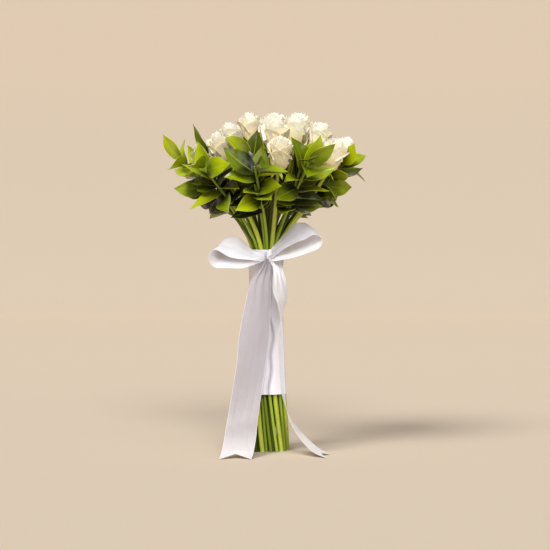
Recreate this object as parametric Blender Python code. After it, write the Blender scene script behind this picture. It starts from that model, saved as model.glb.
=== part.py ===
"""A hand-tied bouquet of twenty cream roses in a collar of ruscus, standing on its cut stems.

The stems form one twisting bundle. It is narrowest at the binding tie, spreads below it to a foot that the
bouquet stands on, and fans out above it to the blooms. A satin sleeve covers the handle, and a ribbon is
tied round it in a bow with two long tails. Metres, +Z up. The origin is on the table, under the middle
of the bouquet's outline. The front of the bouquet faces -Y.
"""

import cmath
import math
import random
from dataclasses import dataclass, field
from itertools import combinations, pairwise

import bmesh
import bpy
from mathutils import Matrix, Vector
from mathutils.bvhtree import BVHTree

# The bundle
BUNDLE_PLACE = Vector((0.0003, 0.0010, 0.0))  # sets the outline's middle on the origin
TIE_HEIGHT = 0.320  # narrowest place of the bundle
TWIST = -4.0  # radians a metre, clockwise going up
FOOT_SPREAD = 0.60  # how much wider the bundle is at the table than at the tie
FOOT_POWER = 1.6
ROSE_STEM_RADIUS = 0.0037
RUSCUS_STEM_RADIUS = 0.0025
STEM_GAP = 0.00050
STEM_TAPER = 0.25  # the share of its width that a stem loses from the tie to its head
ROSE_STEM_SIDES = 5
RUSCUS_STEM_SIDES = 4
HANDLE_HEIGHTS = (0.0, 0.070, 0.150, 0.235, 0.320)
FAN_STEPS = 4
FAN_START = 0.42  # how steeply the fan opens at the tie, against an even slope
PACK_STEPS = 60
PACK_SWEEPS = 14
PACK_LAST_SWEEPS = 280
PACK_PULL = 0.03

# The roses, with places on the hip as radius and height from the bloom's seat
BLOOM_SEAT_GAP = 0.0003
HIP_NECK = (0.0027, -0.0100)
SEPALS = 5
SEPAL_UNDERSIDE = ((0.0150, -0.0102), (0.0047, -0.0026))  # at its tip, and where two sepals meet
SEPAL_TOP = ((0.0156, -0.0090), (0.0049, -0.0012))
BLOOM_FOOT = (0.0042, 0.0)
BLOOM_BELLY = (0.0114, 0.0075)
BLOOM_SIDES = 8
OUTER_WAIST = (0.0148, 0.0260)
MIDDLE_GROOVE = (0.0124, 0.0320)
INNER_GROOVE = (0.0083, 0.0420)
HEART_FOOT = (0.0046, 0.0475)
GROOVE_SHARE = 0.3  # how much of its petals' waves a layer has at its foot
HEART_TIP = 0.0530
FRONT_ROSE_AZIMUTH = math.radians(-87)
ROSE_SEED = 11

# The ruscus
LEAF_LENGTH = 0.060
LEAF_WIDTH = 0.033
LEAF_KEEL = 0.0013  # how far the midrib stands out below the blade
LEAF_ROOT_WIDTH = 0.0026
LEAF_STATIONS = ((0.36, 0.96), (0.72, 0.74))  # share of the length, share of the width
LEAF_TRIALS = 90
LEAF_CLEARANCE = 0.0006
LEAF_SHRINK = 0.20  # the share of its size that a leaf has lost at the last trial
LEAF_SPAN = (0.48, 1.00)  # the share of its fan part that a stem bears leaves on
LEAF_YAW = (0.3, 1.65)  # radians to one side of straight out from the bundle
LEAF_PITCH = ((0.25, 0, 60), (0.50, -20, 60), (1.00, 0, 85))  # degrees above level, up to a share of the span
TOP_LEAF_YAW = (-0.8, 0.8)
TOP_LEAF_PITCH = (0, 60)
LEAF_FACING = (0.75, 0.65)  # how much a leaf's upper face looks outward and upward
LEAF_LEAN = (-0.5, 0.5)  # and sideways
LEAF_ROLL = (-0.6, 0.6)
LEAF_SIZE_SPREAD = (0.86, 1.10)
LEAF_WIDTH_SPREAD = (0.85, 1.12)
LEAF_ARCH = (-0.15, 0.75)  # radians that a leaf bends back over its length
BETWEEN_ROSES = FRONT_ROSE_AZIMUTH + math.pi / 7
RUSCUS_SEED = 1184
STEM_STRIDE, PLACE_STRIDE = 7919, 613  # keep the seeds of all the leaves apart

# The tie, the sleeve and the ribbon
WRAP_SIDES = 16
WRAP_GAP = 0.0003
TIE_THICKNESS = 0.0010
TIE_LOW, TIE_HIGH = 0.300, 0.309
SLEEVE_THICKNESS = 0.0008
SLEEVE_LOW, SLEEVE_HIGH = 0.092, 0.322
SLEEVE_SWELL_FROM = 0.285  # the sleeve rises over the tie from here up
BAND_LOW, BAND_HIGH = 0.298, 0.319
BAND_THICKNESS = 0.0010
RIBBON_THICKNESS = 0.0008
NOTCH_DEPTH = 0.015
KNOT_X, KNOT_HEIGHT = 0.007, 0.3115
KNOT_SIZE = Vector((0.012, 0.015, 0.023))
KNOT_PROFILE = ((-1.0, 0.62), (-0.55, 0.92), (0.0, 1.0), (0.55, 0.90), (1.0, 0.60))  # height, width
KNOT_SIDES = 8
SLEEVE_HEIGHTS = (SLEEVE_LOW, 0.180, 0.270, 0.292, SLEEVE_HIGH)

COLOURS = {
    "petal_cream": (0.93, 0.88, 0.74, 0.55),
    "rose_stem_green": (0.30, 0.42, 0.09, 0.50),
    "ruscus_green": (0.16, 0.30, 0.04, 0.35),
    "satin_white": (0.87, 0.85, 0.87, 0.35),
    "tie_green": (0.22, 0.33, 0.13, 0.60),
}


@dataclass
class Ring:
    """Stems that leave the bundle at one distance from its centre and end at one height."""

    kind: str
    count: int
    start_radius: float
    head_radius: float
    head_height: float
    tilt: float
    azimuth: float = 0.0
    radius_jitter: float = 0.0
    height_jitter: float = 0.0
    shift: float = 0.0  # how far the heads lie to +X
    leaves: int = 0


RINGS = (
    Ring("rose", 1, 0.0, 0.0, 0.484, 0.0, shift=0.014),
    Ring("rose", 6, 0.010, 0.037, 0.483, math.radians(7), 0.325, 0.001, 0.003, 0.014),
    Ring("rose", 6, 0.018, 0.074, 0.471, math.radians(15), math.radians(30), 0.002, 0.004, 0.014),
    Ring("ruscus", 7, 0.022, 0.091, 0.462, math.radians(22), BETWEEN_ROSES, 0.003, 0.006, 0.012, leaves=7),
    Ring("rose", 7, 0.026, 0.102, 0.448, math.radians(26), FRONT_ROSE_AZIMUTH, 0.002, 0.006, 0.014),
    Ring("ruscus", 9, 0.032, 0.130, 0.456, math.radians(42), 0.42, 0.003, 0.007, -0.003, leaves=15),
)


@dataclass
class Stem:
    """One stem, with its centre line from the table to its head."""

    name: str
    ring: Ring
    radius: float
    start: complex
    head_plan: complex
    head_height: float
    sides: int
    waist: complex = 0j
    leaves: list = field(default_factory=list)

    def rise(self):
        return self.head_height - TIE_HEIGHT

    def point(self, height):
        """Where the stem's centre line is at a height."""
        if height <= TIE_HEIGHT:
            plan = self.waist * spread(height) * cmath.exp(1j * TWIST * (height - TIE_HEIGHT))
            return Vector((plan.real, plan.imag, height))
        share = (height - TIE_HEIGHT) / self.rise()
        reach = self.head_plan - self.waist
        ease = share * share * (3 - 2 * share)
        leave = share * (1 - share) ** 2 * FAN_START * reach
        outward = self.head_plan / abs(self.head_plan) if self.head_plan else 0
        arrive = share * share * (share - 1) * math.tan(self.ring.tilt) * self.rise() * outward
        turn = cmath.exp(1j * TWIST * self.rise() * (share - share * share / 2))
        plan = (self.waist + ease * reach + leave + arrive) * turn
        return Vector((plan.real, plan.imag, height))

    def direction(self, height):
        step = 0.0005
        return (self.point(height + step) - self.point(height - step)).normalized()

    def axis(self):
        """The way that the bloom or the tip faces."""
        head = self.point(self.head_height)
        outward = Vector((head.x, head.y, 0)).normalized() if self.head_plan else Vector()
        return (Vector((0, 0, 1)) + outward * math.tan(self.ring.tilt)).normalized()

    def heights(self):
        fan = [TIE_HEIGHT + self.rise() * n / FAN_STEPS for n in range(1, FAN_STEPS + 1)]
        return [*HANDLE_HEIGHTS, *fan]


def spread(height):
    """How much wider the bundle is at a height than at the tie."""
    return 1 + FOOT_SPREAD * (max(0.0, TIE_HEIGHT - height) / TIE_HEIGHT) ** FOOT_POWER


def planned_stems():
    """Every stem with its place in its ring, and the place that its head goes to."""
    draw = random.Random(ROSE_SEED)
    stems, counts = [], {"rose": 0, "ruscus": 0}
    for ring in RINGS:
        for n in range(ring.count):
            counts[ring.kind] += 1
            height = ring.head_height + draw.uniform(-1, 1) * ring.height_jitter
            reach = ring.head_radius + draw.uniform(-1, 1) * ring.radius_jitter
            turned = ring.azimuth - TWIST * (height - TIE_HEIGHT) / 2
            azimuth = turned + math.tau * n / ring.count
            rose = ring.kind == "rose"
            stems.append(
                Stem(
                    name=f"{'rose_stem' if rose else 'ruscus_stem'}_{counts[ring.kind]:02d}",
                    ring=ring,
                    radius=ROSE_STEM_RADIUS if rose else RUSCUS_STEM_RADIUS,
                    start=cmath.rect(ring.start_radius, azimuth),
                    head_plan=cmath.rect(reach, azimuth) + ring.shift * cmath.rect(1, turned - ring.azimuth),
                    head_height=height,
                    sides=ROSE_STEM_SIDES if rose else RUSCUS_STEM_SIDES,
                )
            )
    return stems


def pack_bundle(stems):
    """Draws the stems together at the tie until they all but touch, with the centre stem at the centre."""
    places = [stem.start for stem in stems]
    for step in range(PACK_STEPS + 1):
        pull = 1 - PACK_PULL * (1 - step / PACK_STEPS)
        places = [place * pull for place in places]
        for _ in range(PACK_SWEEPS if step < PACK_STEPS else PACK_LAST_SWEEPS):
            for i, j in combinations(range(len(stems)), 2):
                apart = places[j] - places[i]
                short = stems[i].radius + stems[j].radius + STEM_GAP - abs(apart)
                if short > 0:
                    shove = apart / abs(apart) * short / 2
                    places[i] -= shove
                    places[j] += shove
    for stem, place in zip(stems, places, strict=True):
        stem.waist = place - places[0]


def bundle_radius(stems, height):
    """Radius of the circle round all the stems at a height in the handle."""
    return max(abs(stem.waist) * spread(height) + stem.radius for stem in stems)


def stitch(faces, lower, upper):
    """Adds the triangles between two closed rings of point numbers, which may differ in size."""
    a = b = 0
    while a < len(lower) or b < len(upper):
        low, high = lower[a % len(lower)], upper[b % len(upper)]
        if b == len(upper) or (a < len(lower) and (a + 1) * len(upper) <= (b + 1) * len(lower)):
            a += 1
            faces.append((low, lower[a % len(lower)], high))
        else:
            b += 1
            faces.append((low, upper[b % len(upper)], high))


def closed_skin(rings, apex=None):
    """Points and faces of a skin through rings of points, with its first ring filled flat.

    The last ring is filled flat too, or drawn together at the apex.
    """
    points, faces, numbers = [], [], []
    for ring in rings:
        numbers.append(list(range(len(points), len(points) + len(ring))))
        points.extend(ring)
    faces.append(tuple(reversed(numbers[0])))
    for lower, upper in pairwise(numbers):
        stitch(faces, lower, upper)
    if apex is None:
        faces.append(tuple(numbers[-1]))
    else:
        points.append(apex)
        last = numbers[-1]
        faces.extend((last[n], last[(n + 1) % len(last)], len(points) - 1) for n in range(len(last)))
    return points, faces


def lined_up(rings):
    """The rings, each begun at the point that faces the way the last one begins, so that no skin twists."""
    made = []
    for ring in rings:
        middle = sum(ring, Vector()) / len(ring)
        ways = [(point - middle).normalized() for point in ring]
        heading = heading if made else ways[0]
        start = max(range(len(ring)), key=lambda n: ways[n].dot(heading))
        heading = ways[start]
        made.append(ring[start:] + ring[:start])
    return made


def circle(centre, along, radius, sides):
    """A ring of points round a direction."""
    across = (Vector((1, 0, 0)) - along * along.x).normalized()
    up = along.cross(across)
    turns = (math.tau * n / sides for n in range(sides))
    return [centre + (across * math.cos(a) + up * math.sin(a)) * radius for a in turns]


def stem_rings(stem, heights):
    """Rings of a stem, thinner towards its head, the first one slid along the stem onto the table."""
    rings = []
    for height in heights:
        along = stem.direction(max(height, 0.001))
        taper = 1.0 - STEM_TAPER * max(0.0, height - TIE_HEIGHT) / stem.rise()
        ring = circle(stem.point(height), along, stem.radius * taper, stem.sides)
        if height == 0.0:
            ring = [point - along * (point.z / along.z) for point in ring]
        rings.append(ring)
    return rings


def frame_along(axis, origin):
    """A matrix that stands local Z along an axis."""
    return Matrix.Translation(origin) @ axis.to_track_quat("Z", "Y").to_matrix().to_4x4()


def rose_stem(stem):
    """A rose's stem, its swollen hip, and five sepals bent back under the bloom."""
    top = stem.point(stem.head_height)
    frame = frame_along(stem.axis(), top)
    neck_radius, neck_height = HIP_NECK
    rings = stem_rings(stem, [h for h in stem.heights() if h < stem.head_height + 2 * neck_height])
    rings.append([frame @ p for p in local_circle(neck_radius, neck_height, stem.sides)])
    for corners in (SEPAL_UNDERSIDE, SEPAL_TOP):
        star = []
        for n in range(2 * SEPALS):
            radius, height = corners[n % 2]
            angle = math.pi * n / SEPALS
            star.append(frame @ Vector((radius * math.cos(angle), radius * math.sin(angle), height)))
        rings.append(star)
    return closed_skin(lined_up(rings), apex=top)


def local_circle(radius, height, sides):
    turns = (math.tau * n / sides for n in range(sides))
    return [Vector((radius * math.cos(a), radius * math.sin(a), height)) for a in turns]


@dataclass
class Whorl:
    """One layer of a bloom's petals: the rim that they form round the groove inside it."""

    petals: int
    samples: int
    rim_radius: float
    rim_height: float
    flare: float  # how far a petal's middle stands out past its edges
    lift: float  # how far a petal's middle stands up past its edges
    lap: float  # how far each petal's end lies outside the next one's start
    turn: float
    wall: float = 0.0015

    def ring(self, radius, height, share=1.0):
        """The rim's points, moved to another radius and height."""
        points = []
        for petal in range(self.petals):
            for sample in range(self.samples):
                t = 0.04 + 0.92 * sample / (self.samples - 1)
                bulge = math.sin(math.pi * t)
                angle = math.tau * (petal + t) / self.petals + self.turn
                r = radius + share * (self.flare * bulge + self.lap * (2 * t - 1))
                z = height + share * self.lift * bulge
                points.append(Vector((r * math.cos(angle), r * math.sin(angle), z)))
        return points

    def rims(self):
        """The outer and the inner edge of the petals' rims."""
        outer = self.ring(self.rim_radius, self.rim_height)
        inner = self.ring(self.rim_radius - self.wall, self.rim_height + 0.0009)
        return outer, inner


def bloom(openness, turn):
    """A half-open rose: a tall cup with three layers of petals round a closed heart.

    Openness goes from 0, a bud, to 1, with its outer petals rolled well back.
    """
    outer = Whorl(
        petals=5,
        samples=3,
        rim_radius=0.0150 + 0.0018 * openness,
        rim_height=0.0370,
        flare=0.0014 + 0.0024 * openness,
        lift=0.0045,
        lap=0.0006,
        turn=turn,
    )
    middle = Whorl(
        petals=5,
        samples=3,
        rim_radius=0.0128,
        rim_height=0.0465,
        flare=0.0012 + 0.0008 * openness,
        lift=0.0034,
        lap=0.0004,
        turn=turn + 0.7,
    )
    inner = Whorl(
        petals=4,
        samples=3,
        rim_radius=0.0086,
        rim_height=0.0520,
        flare=0.0006,
        lift=0.0024,
        lap=0.0004,
        turn=turn + 1.5,
    )
    heart = Whorl(
        petals=3,
        samples=2,
        rim_radius=0.0044,
        rim_height=0.0545,
        flare=0.0,
        lift=0.0,
        lap=0.0005,
        turn=turn + 3.0,
    )
    rings = [
        local_circle(*BLOOM_FOOT, BLOOM_SIDES),
        local_circle(*BLOOM_BELLY, BLOOM_SIDES),
        outer.ring(*OUTER_WAIST, share=GROOVE_SHARE),
        *outer.rims(),
        middle.ring(*MIDDLE_GROOVE, share=GROOVE_SHARE),
        *middle.rims(),
        inner.ring(*INNER_GROOVE, share=GROOVE_SHARE),
        *inner.rims(),
        heart.ring(*HEART_FOOT),
        heart.ring(heart.rim_radius, heart.rim_height),
    ]
    return closed_skin(lined_up(rings), apex=Vector((0, 0, HEART_TIP)))


@dataclass
class Leaf:
    """One ruscus leaf, from its root in the stem to its tip."""

    root: Vector
    along: Vector
    up: Vector
    length: float
    width: float
    arch: float  # radians that the leaf bends back over its length

    def midrib(self, share):
        """The midrib's point and the leaf's upward direction there."""
        angle = self.arch * share
        bend = self.arch if abs(self.arch) > 1e-4 else 1e-4
        forward = math.sin(bend * share) / bend
        down = (1 - math.cos(bend * share)) / bend
        point = self.root + (self.along * forward - self.up * down) * self.length
        return point, (self.up * math.cos(angle) + self.along * math.sin(angle)).normalized()

    def shape(self, grow=0.0):
        """Points and faces: a blade with thin edges, thickest along the keel under its midrib.

        Grown, to test what is close to it, it has thick edges too.
        """
        side = self.up.cross(self.along).normalized()
        rings = []
        for share, width in ((0.0, LEAF_ROOT_WIDTH / self.width), *LEAF_STATIONS):
            centre, up = self.midrib(share)
            half = side * (self.width / 2 * width + grow)
            above, below = centre + up * grow, centre - up * grow
            ring = [above + half, above - half, centre - up * (LEAF_KEEL + grow)]
            if grow:
                ring[2:] = [below - half, ring[2], below + half]
            rings.append(ring)
        return closed_skin(rings, apex=self.midrib(1 + grow / self.length)[0])


def drawn_leaf(stem, number, place, trial):
    """One try at a leaf: which way it grows from its place on the stem is drawn from its own seed."""
    draw = random.Random(RUSCUS_SEED + STEM_STRIDE * number + PLACE_STRIDE * place + trial)
    last = place == stem.ring.leaves - 1
    climb = place / (stem.ring.leaves - 1)
    low, high = LEAF_SPAN
    height = TIE_HEIGHT + stem.rise() * (low + (high - low) * climb)
    root = stem.point(height)
    outward = Vector((root.x, root.y, 0)).normalized()
    sideways = Vector((-outward.y, outward.x, 0))
    if last:
        yaw, pitch = draw.uniform(*TOP_LEAF_YAW), math.radians(draw.uniform(*TOP_LEAF_PITCH))
    else:
        yaw = (1 if place % 2 else -1) * draw.uniform(*LEAF_YAW)
        _, lowest, highest = next(row for row in LEAF_PITCH if climb < row[0])
        pitch = math.radians(draw.uniform(lowest, highest))
    flat = outward * math.cos(yaw) + sideways * math.sin(yaw)
    along = (flat * math.cos(pitch) + Vector((0, 0, 1)) * math.sin(pitch)).normalized()
    facing_out, facing_up = LEAF_FACING
    lean = outward * facing_out + Vector((0, 0, facing_up)) + sideways * draw.uniform(*LEAF_LEAN)
    up = (lean - along * lean.dot(along)).normalized()
    up.rotate(Matrix.Rotation(draw.uniform(*LEAF_ROLL), 3, along))
    size = draw.uniform(*LEAF_SIZE_SPREAD) * (1 - LEAF_SHRINK * trial / LEAF_TRIALS)
    return Leaf(
        root=root,
        along=along,
        up=up,
        length=LEAF_LENGTH * size,
        width=LEAF_WIDTH * size * draw.uniform(*LEAF_WIDTH_SPREAD),
        arch=draw.uniform(*LEAF_ARCH),
    )


class Obstacles:
    """What is already in place, so that nothing grows through it."""

    def __init__(self):
        self.known = []

    def add(self, name, points, faces):
        low = [min(p[k] for p in points) for k in range(3)]
        high = [max(p[k] for p in points) for k in range(3)]
        self.known.append((name, low, high, BVHTree.FromPolygons(points, faces)))

    def hit(self, points, faces, but=""):
        """True if the shape crosses anything other than the named one."""
        low = [min(p[k] for p in points) for k in range(3)]
        high = [max(p[k] for p in points) for k in range(3)]
        tree = None
        for name, other_low, other_high, other in self.known:
            apart = any(low[k] > other_high[k] or high[k] < other_low[k] for k in range(3))
            if name == but or apart:
                continue
            tree = tree or BVHTree.FromPolygons(points, faces)
            if tree.overlap(other):
                return True
        return False


def grow_leaves(stems, obstacles):
    """Sets each ruscus stem's leaves, one place on every stem at a time, where nothing is in the way."""
    sprays = [stem for stem in stems if stem.ring.leaves]
    for place in reversed(range(max(stem.ring.leaves for stem in sprays))):
        for number, stem in enumerate(sprays):
            if place >= stem.ring.leaves:
                continue
            for trial in range(LEAF_TRIALS):
                leaf = drawn_leaf(stem, number, place, trial)
                if not obstacles.hit(*leaf.shape(LEAF_CLEARANCE), but=stem.name):
                    obstacles.add("leaf", *leaf.shape())
                    stem.leaves.append(leaf)
                    break


@dataclass
class Station:
    """A place along a ribbon: its middle, half its width, and the direction of its upper or right edge."""

    middle: Vector
    half: float
    edge: Vector


def stations(*rows):
    """Stations from rows of x, y, z and half width in millimetres, and the edge's direction."""
    made = []
    for x, y, z, half, *edge in rows:
        made.append(Station(Vector((x, y, z)) / 1000, half / 1000, Vector(edge).normalized()))
    return made


# Both loops run out along their upper layer and back to the knot along their lower one.
LEFT_LOOP = stations(
    (-2, -40, 313, 7, 0, 0.6, 0.8),
    (-19, -44, 314, 15, 0, 0.85, 0.50),
    (-39, -48, 323, 22, 0, 0.72, 0.70),
    (-56, -51, 327, 25, 0.05, 0.76, 0.64),
    (-70, -53, 331, 25, 0.30, 0.87, 0.38),
    (-78, -53, 326, 25, 0.33, 0.86, 0.36),
    (-80, -52, 315, 25, 0.33, 0.85, 0.38),
    (-73, -51, 307, 25, 0.25, 0.83, 0.48),
    (-57, -50, 309, 25, 0.08, 0.78, 0.62),
    (-38, -48, 308, 22, 0, 0.74, 0.67),
    (-20, -44, 308, 15, 0, 0.72, 0.70),
    (-2, -40, 310, 7, 0, 0.6, 0.8),
)
RIGHT_LOOP = stations(
    (6, -40, 313, 7, 0, 0.6, 0.8),
    (18, -44, 324, 14, -0.10, 0.85, 0.50),
    (34, -50, 339, 21, -0.20, 0.88, 0.38),
    (52, -56, 351, 25, -0.29, 0.83, 0.47),
    (66, -59, 356, 25, -0.31, 0.87, 0.38),
    (76, -60, 353, 25, -0.38, 0.84, 0.38),
    (78.5, -60, 344, 25, -0.39, 0.84, 0.38),
    (74, -58, 335, 25, -0.36, 0.85, 0.38),
    (62, -55, 328, 25, -0.28, 0.88, 0.36),
    (41, -50, 319, 23, -0.12, 0.90, 0.40),
    (21, -45, 313, 15, 0, 0.85, 0.50),
    (6, -40, 310, 7, 0, 0.6, 0.8),
)
LEFT_TAIL = stations(
    (4, -41, 308, 6, 1, 0, 0),
    (-1, -45, 292, 10, 1, 0.05, 0),
    (-8, -48, 273, 16, 1, 0.10, 0),
    (-12, -51, 241, 20, 0.98, 0.15, 0),
    (-18, -54, 188, 25, 0.96, 0.25, 0.05),
    (-22, -56, 149, 25, 0.94, 0.30, 0.08),
    (-30, -62, 97, 25, 0.93, 0.30, 0.10),
    (-37, -77, 53, 25, 0.95, 0.20, 0.10),
    (-40, -95, 29, 25, 0.98, 0.10, 0.05),
    (-44, -114, 9, 25, 1, 0.03, 0),
    (-47, -129, 0.6, 25, 1, 0, 0),
)
RIGHT_TAIL = stations(
    (8, -41, 308, 6, 0.9, 0.3, 0),
    (17, -45, 295, 9, 0.7, 0.65, 0),
    (21, -50, 275, 16, 0.6, 0.75, 0),
    (23, -55, 257, 22, 0.48, 0.86, 0),
    (26, -60, 240, 25, 0.28, 0.95, 0),
    (25, -62, 219, 25, 0.05, 1, 0),
    (24, -63, 188, 25, -0.10, 0.99, 0),
    (25, -64, 148, 25, -0.12, 0.99, 0),
    (27, -66, 103, 25, -0.10, 0.99, 0),
    (31, -67, 77, 25, -0.03, 1, 0),
    (40, -68, 53, 25, 0.05, 1, 0),
    (58, -71, 28, 25, 0.10, 1, 0.05),
    (79, -78, 9, 25, 0.12, 1, 0.04),
    (98, -87, 0.6, 25, 0.12, 1, 0),
)


def through(values, share):
    """A smooth curve through values that are evenly spaced, read at a share of its length."""
    spans = len(values) - 1
    n = min(int(share * spans), spans - 1)
    t = share * spans - n
    before, here, there, after = (values[min(max(k, 0), spans)] for k in (n - 1, n, n + 1, n + 2))
    second = before * 2 - here * 5 + there * 4 - after
    third = here * 3 - before - there * 3 + after
    return here + ((there - before) + (second + third * t) * t) * (t / 2)


def plate(front, back):
    """Points and faces of a thin plate between two grids of points, split alike on both faces."""
    rows, columns = len(front), len(front[0])
    points = [point for grid in (front, back) for row in grid for point in row]
    behind = rows * columns
    faces = []
    for row in range(rows - 1):
        for a in range(row * columns, (row + 1) * columns - 1):
            b, c, d = a + 1, a + columns, a + columns + 1
            faces += [(a, b, c), (b, d, c)]
            faces += [(a + behind, c + behind, b + behind), (b + behind, c + behind, d + behind)]
    first, last = range(columns), range((rows - 1) * columns, rows * columns)
    left, right = range(0, rows * columns, columns), range(columns - 1, rows * columns, columns)
    rim = [*first, *right[1:], *reversed(last[:-1]), *reversed(left[1:-1])]
    for a, b in pairwise([*rim, rim[0]]):
        faces += [(b, a, a + behind), (b, a + behind, b + behind)]
    return points, faces


def ribbon(path, steps, notch=0.0):
    """Points and faces of a ribbon: three points across it, on both faces, and a notch cut in its end."""
    middles = [station.middle for station in path]
    halves = [Vector((station.half, 0, 0)) for station in path]
    edges = [station.edge for station in path]
    front, back = [], []
    for n in range(steps + 1):
        share = n / steps
        middle, half = through(middles, share), through(halves, share).x
        edge = through(edges, share).normalized()
        ahead = through(middles, min(1.0, share + 0.01)) - through(middles, max(0.0, share - 0.01))
        forward = (ahead - edge * ahead.dot(edge)).normalized()
        face = edge.cross(forward) * (RIBBON_THICKNESS / 2)
        cut = forward * notch if n == steps else Vector()
        across = (middle - edge * half, middle - cut, middle + edge * half)
        front.append([point + face for point in across])
        back.append([point - face for point in across])
    return plate(front, back)


def wrap(radius_at, thickness, heights):
    """Points and faces of a sleeve round the handle: its inside and outside walls and both hems."""
    points, faces = [], []
    walls = [(height, 0.0) for height in heights]
    walls += [(height, thickness) for height in reversed(heights)]
    for height, out in walls:
        radius = (radius_at(height) + out) / math.cos(math.pi / WRAP_SIDES)
        points += local_circle(radius, height, WRAP_SIDES)
    for wall in range(len(walls)):
        first, second = wall * WRAP_SIDES, (wall + 1) % len(walls) * WRAP_SIDES
        for n in range(WRAP_SIDES):
            m = (n + 1) % WRAP_SIDES
            faces.append((first + n, second + n, second + m))
            faces.append((first + n, second + m, first + m))
    return points, faces


def knot(band_middle):
    """Points and faces of the ribbon's knot: a pinched roll with its back sunk halfway into the band."""
    half = KNOT_SIZE / 2
    centre = Vector((KNOT_X, -math.sqrt(band_middle**2 - KNOT_X**2) - half.y, KNOT_HEIGHT))
    rings = []
    for share, width in KNOT_PROFILE:
        ring = local_circle(width, share, KNOT_SIDES)
        rings.append([centre + Vector((half.x * p.x, half.y * p.y, half.z * p.z)) for p in ring])
    return closed_skin(rings)


def principled(name):
    """A material with one of the bouquet's colours."""
    red, green, blue, rough = COLOURS[name]
    material = bpy.data.materials.new(name)
    material.use_nodes = True
    shader = material.node_tree.nodes["Principled BSDF"]
    shader.inputs["Base Color"].default_value = (red, green, blue, 1)
    shader.inputs["Roughness"].default_value = rough
    shader.inputs["Metallic"].default_value = 0.0
    return material


def solid(name, shape, material, collection=None):
    """An object from points and faces."""
    points, faces = shape
    mesh = bpy.data.meshes.new(name)
    mesh.from_pydata(points, [], faces)
    mesh.shade_smooth()
    mesh.set_sharp_from_angle(angle=math.radians(50))
    mesh.materials.append(material)
    made = bpy.data.objects.new(name, mesh)
    (collection or bpy.context.scene.collection).objects.link(made)
    return made


def keep_largest(mesh):
    """Drops any scrap that a union leaves loose."""
    work = bmesh.new()
    work.from_mesh(mesh)
    bodies, seen = [], set()
    for start in work.verts:
        if start in seen:
            continue
        body, edge = {start}, [start]
        while edge:
            for link in edge.pop().link_edges:
                for point in link.verts:
                    if point not in body:
                        body.add(point)
                        edge.append(point)
        seen |= body
        bodies.append(body)
    largest = max(bodies, key=len)
    bmesh.ops.delete(work, geom=[v for v in work.verts if v not in largest], context="VERTS")
    work.to_mesh(mesh)
    work.free()


def joined(base, shapes, material):
    """Fuses more shapes into an object with one Boolean union."""
    spare = bpy.data.collections.new(base.name + "_repeats")
    bpy.context.scene.collection.children.link(spare)
    for n, shape in enumerate(shapes):
        solid(f"{base.name}_repeat_{n}", shape, material, spare)
    union = base.modifiers.new("fuse repeats", "BOOLEAN")
    union.operation = "UNION"
    union.operand_type = "COLLECTION"
    union.collection = spare
    union.solver = "MANIFOLD"
    bpy.context.view_layer.update()
    whole = bpy.data.meshes.new_from_object(base.evaluated_get(bpy.context.evaluated_depsgraph_get()))
    base.modifiers.clear()
    keep_largest(whole)
    base.data = whole
    for repeat in list(spare.objects):
        bpy.data.objects.remove(repeat)
    bpy.data.collections.remove(spare)
    return base


def build_roses(stems, materials, obstacles):
    """Every rose's stem and the bloom that sits on it."""
    draw = random.Random(ROSE_SEED + 1)
    roses = [stem for stem in stems if stem.ring.kind == "rose"]
    for number, stem in enumerate(roses, start=1):
        shape = rose_stem(stem)
        solid(stem.name, shape, materials["rose_stem_green"])
        obstacles.add(stem.name, *shape)
        points, faces = bloom(openness=draw.uniform(0.2, 1.0), turn=draw.uniform(0, math.tau))
        seat = stem.point(stem.head_height) + stem.axis() * BLOOM_SEAT_GAP
        flower = solid(f"rose_bloom_{number:02d}", (points, faces), materials["petal_cream"])
        flower.matrix_world = frame_along(stem.axis(), seat)
        obstacles.add(flower.name, [flower.matrix_world @ p for p in points], faces)


def build_wraps(stems, materials, obstacles):
    """The hidden tie, the satin sleeve over it, and the ribbon tied round them."""

    def tie_inside(height):
        return bundle_radius(stems, TIE_HEIGHT if height > TIE_HEIGHT else height) + WRAP_GAP

    def sleeve_inside(height):
        over_tie = TIE_THICKNESS + WRAP_GAP if height > SLEEVE_SWELL_FROM else 0.0
        return tie_inside(height) + over_tie

    def band_inside(height):
        return sleeve_inside(height) + SLEEVE_THICKNESS + WRAP_GAP

    tie = wrap(tie_inside, TIE_THICKNESS, (TIE_LOW, TIE_HIGH))
    solid("binding_tie", tie, materials["tie_green"])
    sleeve = wrap(sleeve_inside, SLEEVE_THICKNESS, SLEEVE_HEIGHTS)
    solid("satin_sleeve", sleeve, materials["satin_white"])
    band = wrap(band_inside, BAND_THICKNESS, (BAND_LOW, BAND_HIGH))
    bow = solid("satin_bow", band, materials["satin_white"])
    pieces = [
        knot(band_inside(KNOT_HEIGHT) + BAND_THICKNESS / 2),
        ribbon(LEFT_LOOP, 14),
        ribbon(RIGHT_LOOP, 14),
        ribbon(LEFT_TAIL, 10, NOTCH_DEPTH),
        ribbon(RIGHT_TAIL, 13, NOTCH_DEPTH),
    ]
    joined(bow, pieces, materials["satin_white"])
    for name, shape in (("sleeve", sleeve), ("band", band), *((f"bow_{n}", p) for n, p in enumerate(pieces))):
        obstacles.add(name, *shape)


def build_ruscus(stems, materials, obstacles):
    """Every ruscus stem with its leaves fused on."""
    sprays = [stem for stem in stems if stem.ring.kind == "ruscus"]
    shapes = {}
    for stem in sprays:
        shapes[stem.name] = closed_skin(stem_rings(stem, stem.heights()))
        obstacles.add(stem.name, *shapes[stem.name])
    grow_leaves(stems, obstacles)
    for stem in sprays:
        spray = solid(stem.name, shapes[stem.name], materials["ruscus_green"])
        joined(spray, [leaf.shape() for leaf in stem.leaves], materials["ruscus_green"])


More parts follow.
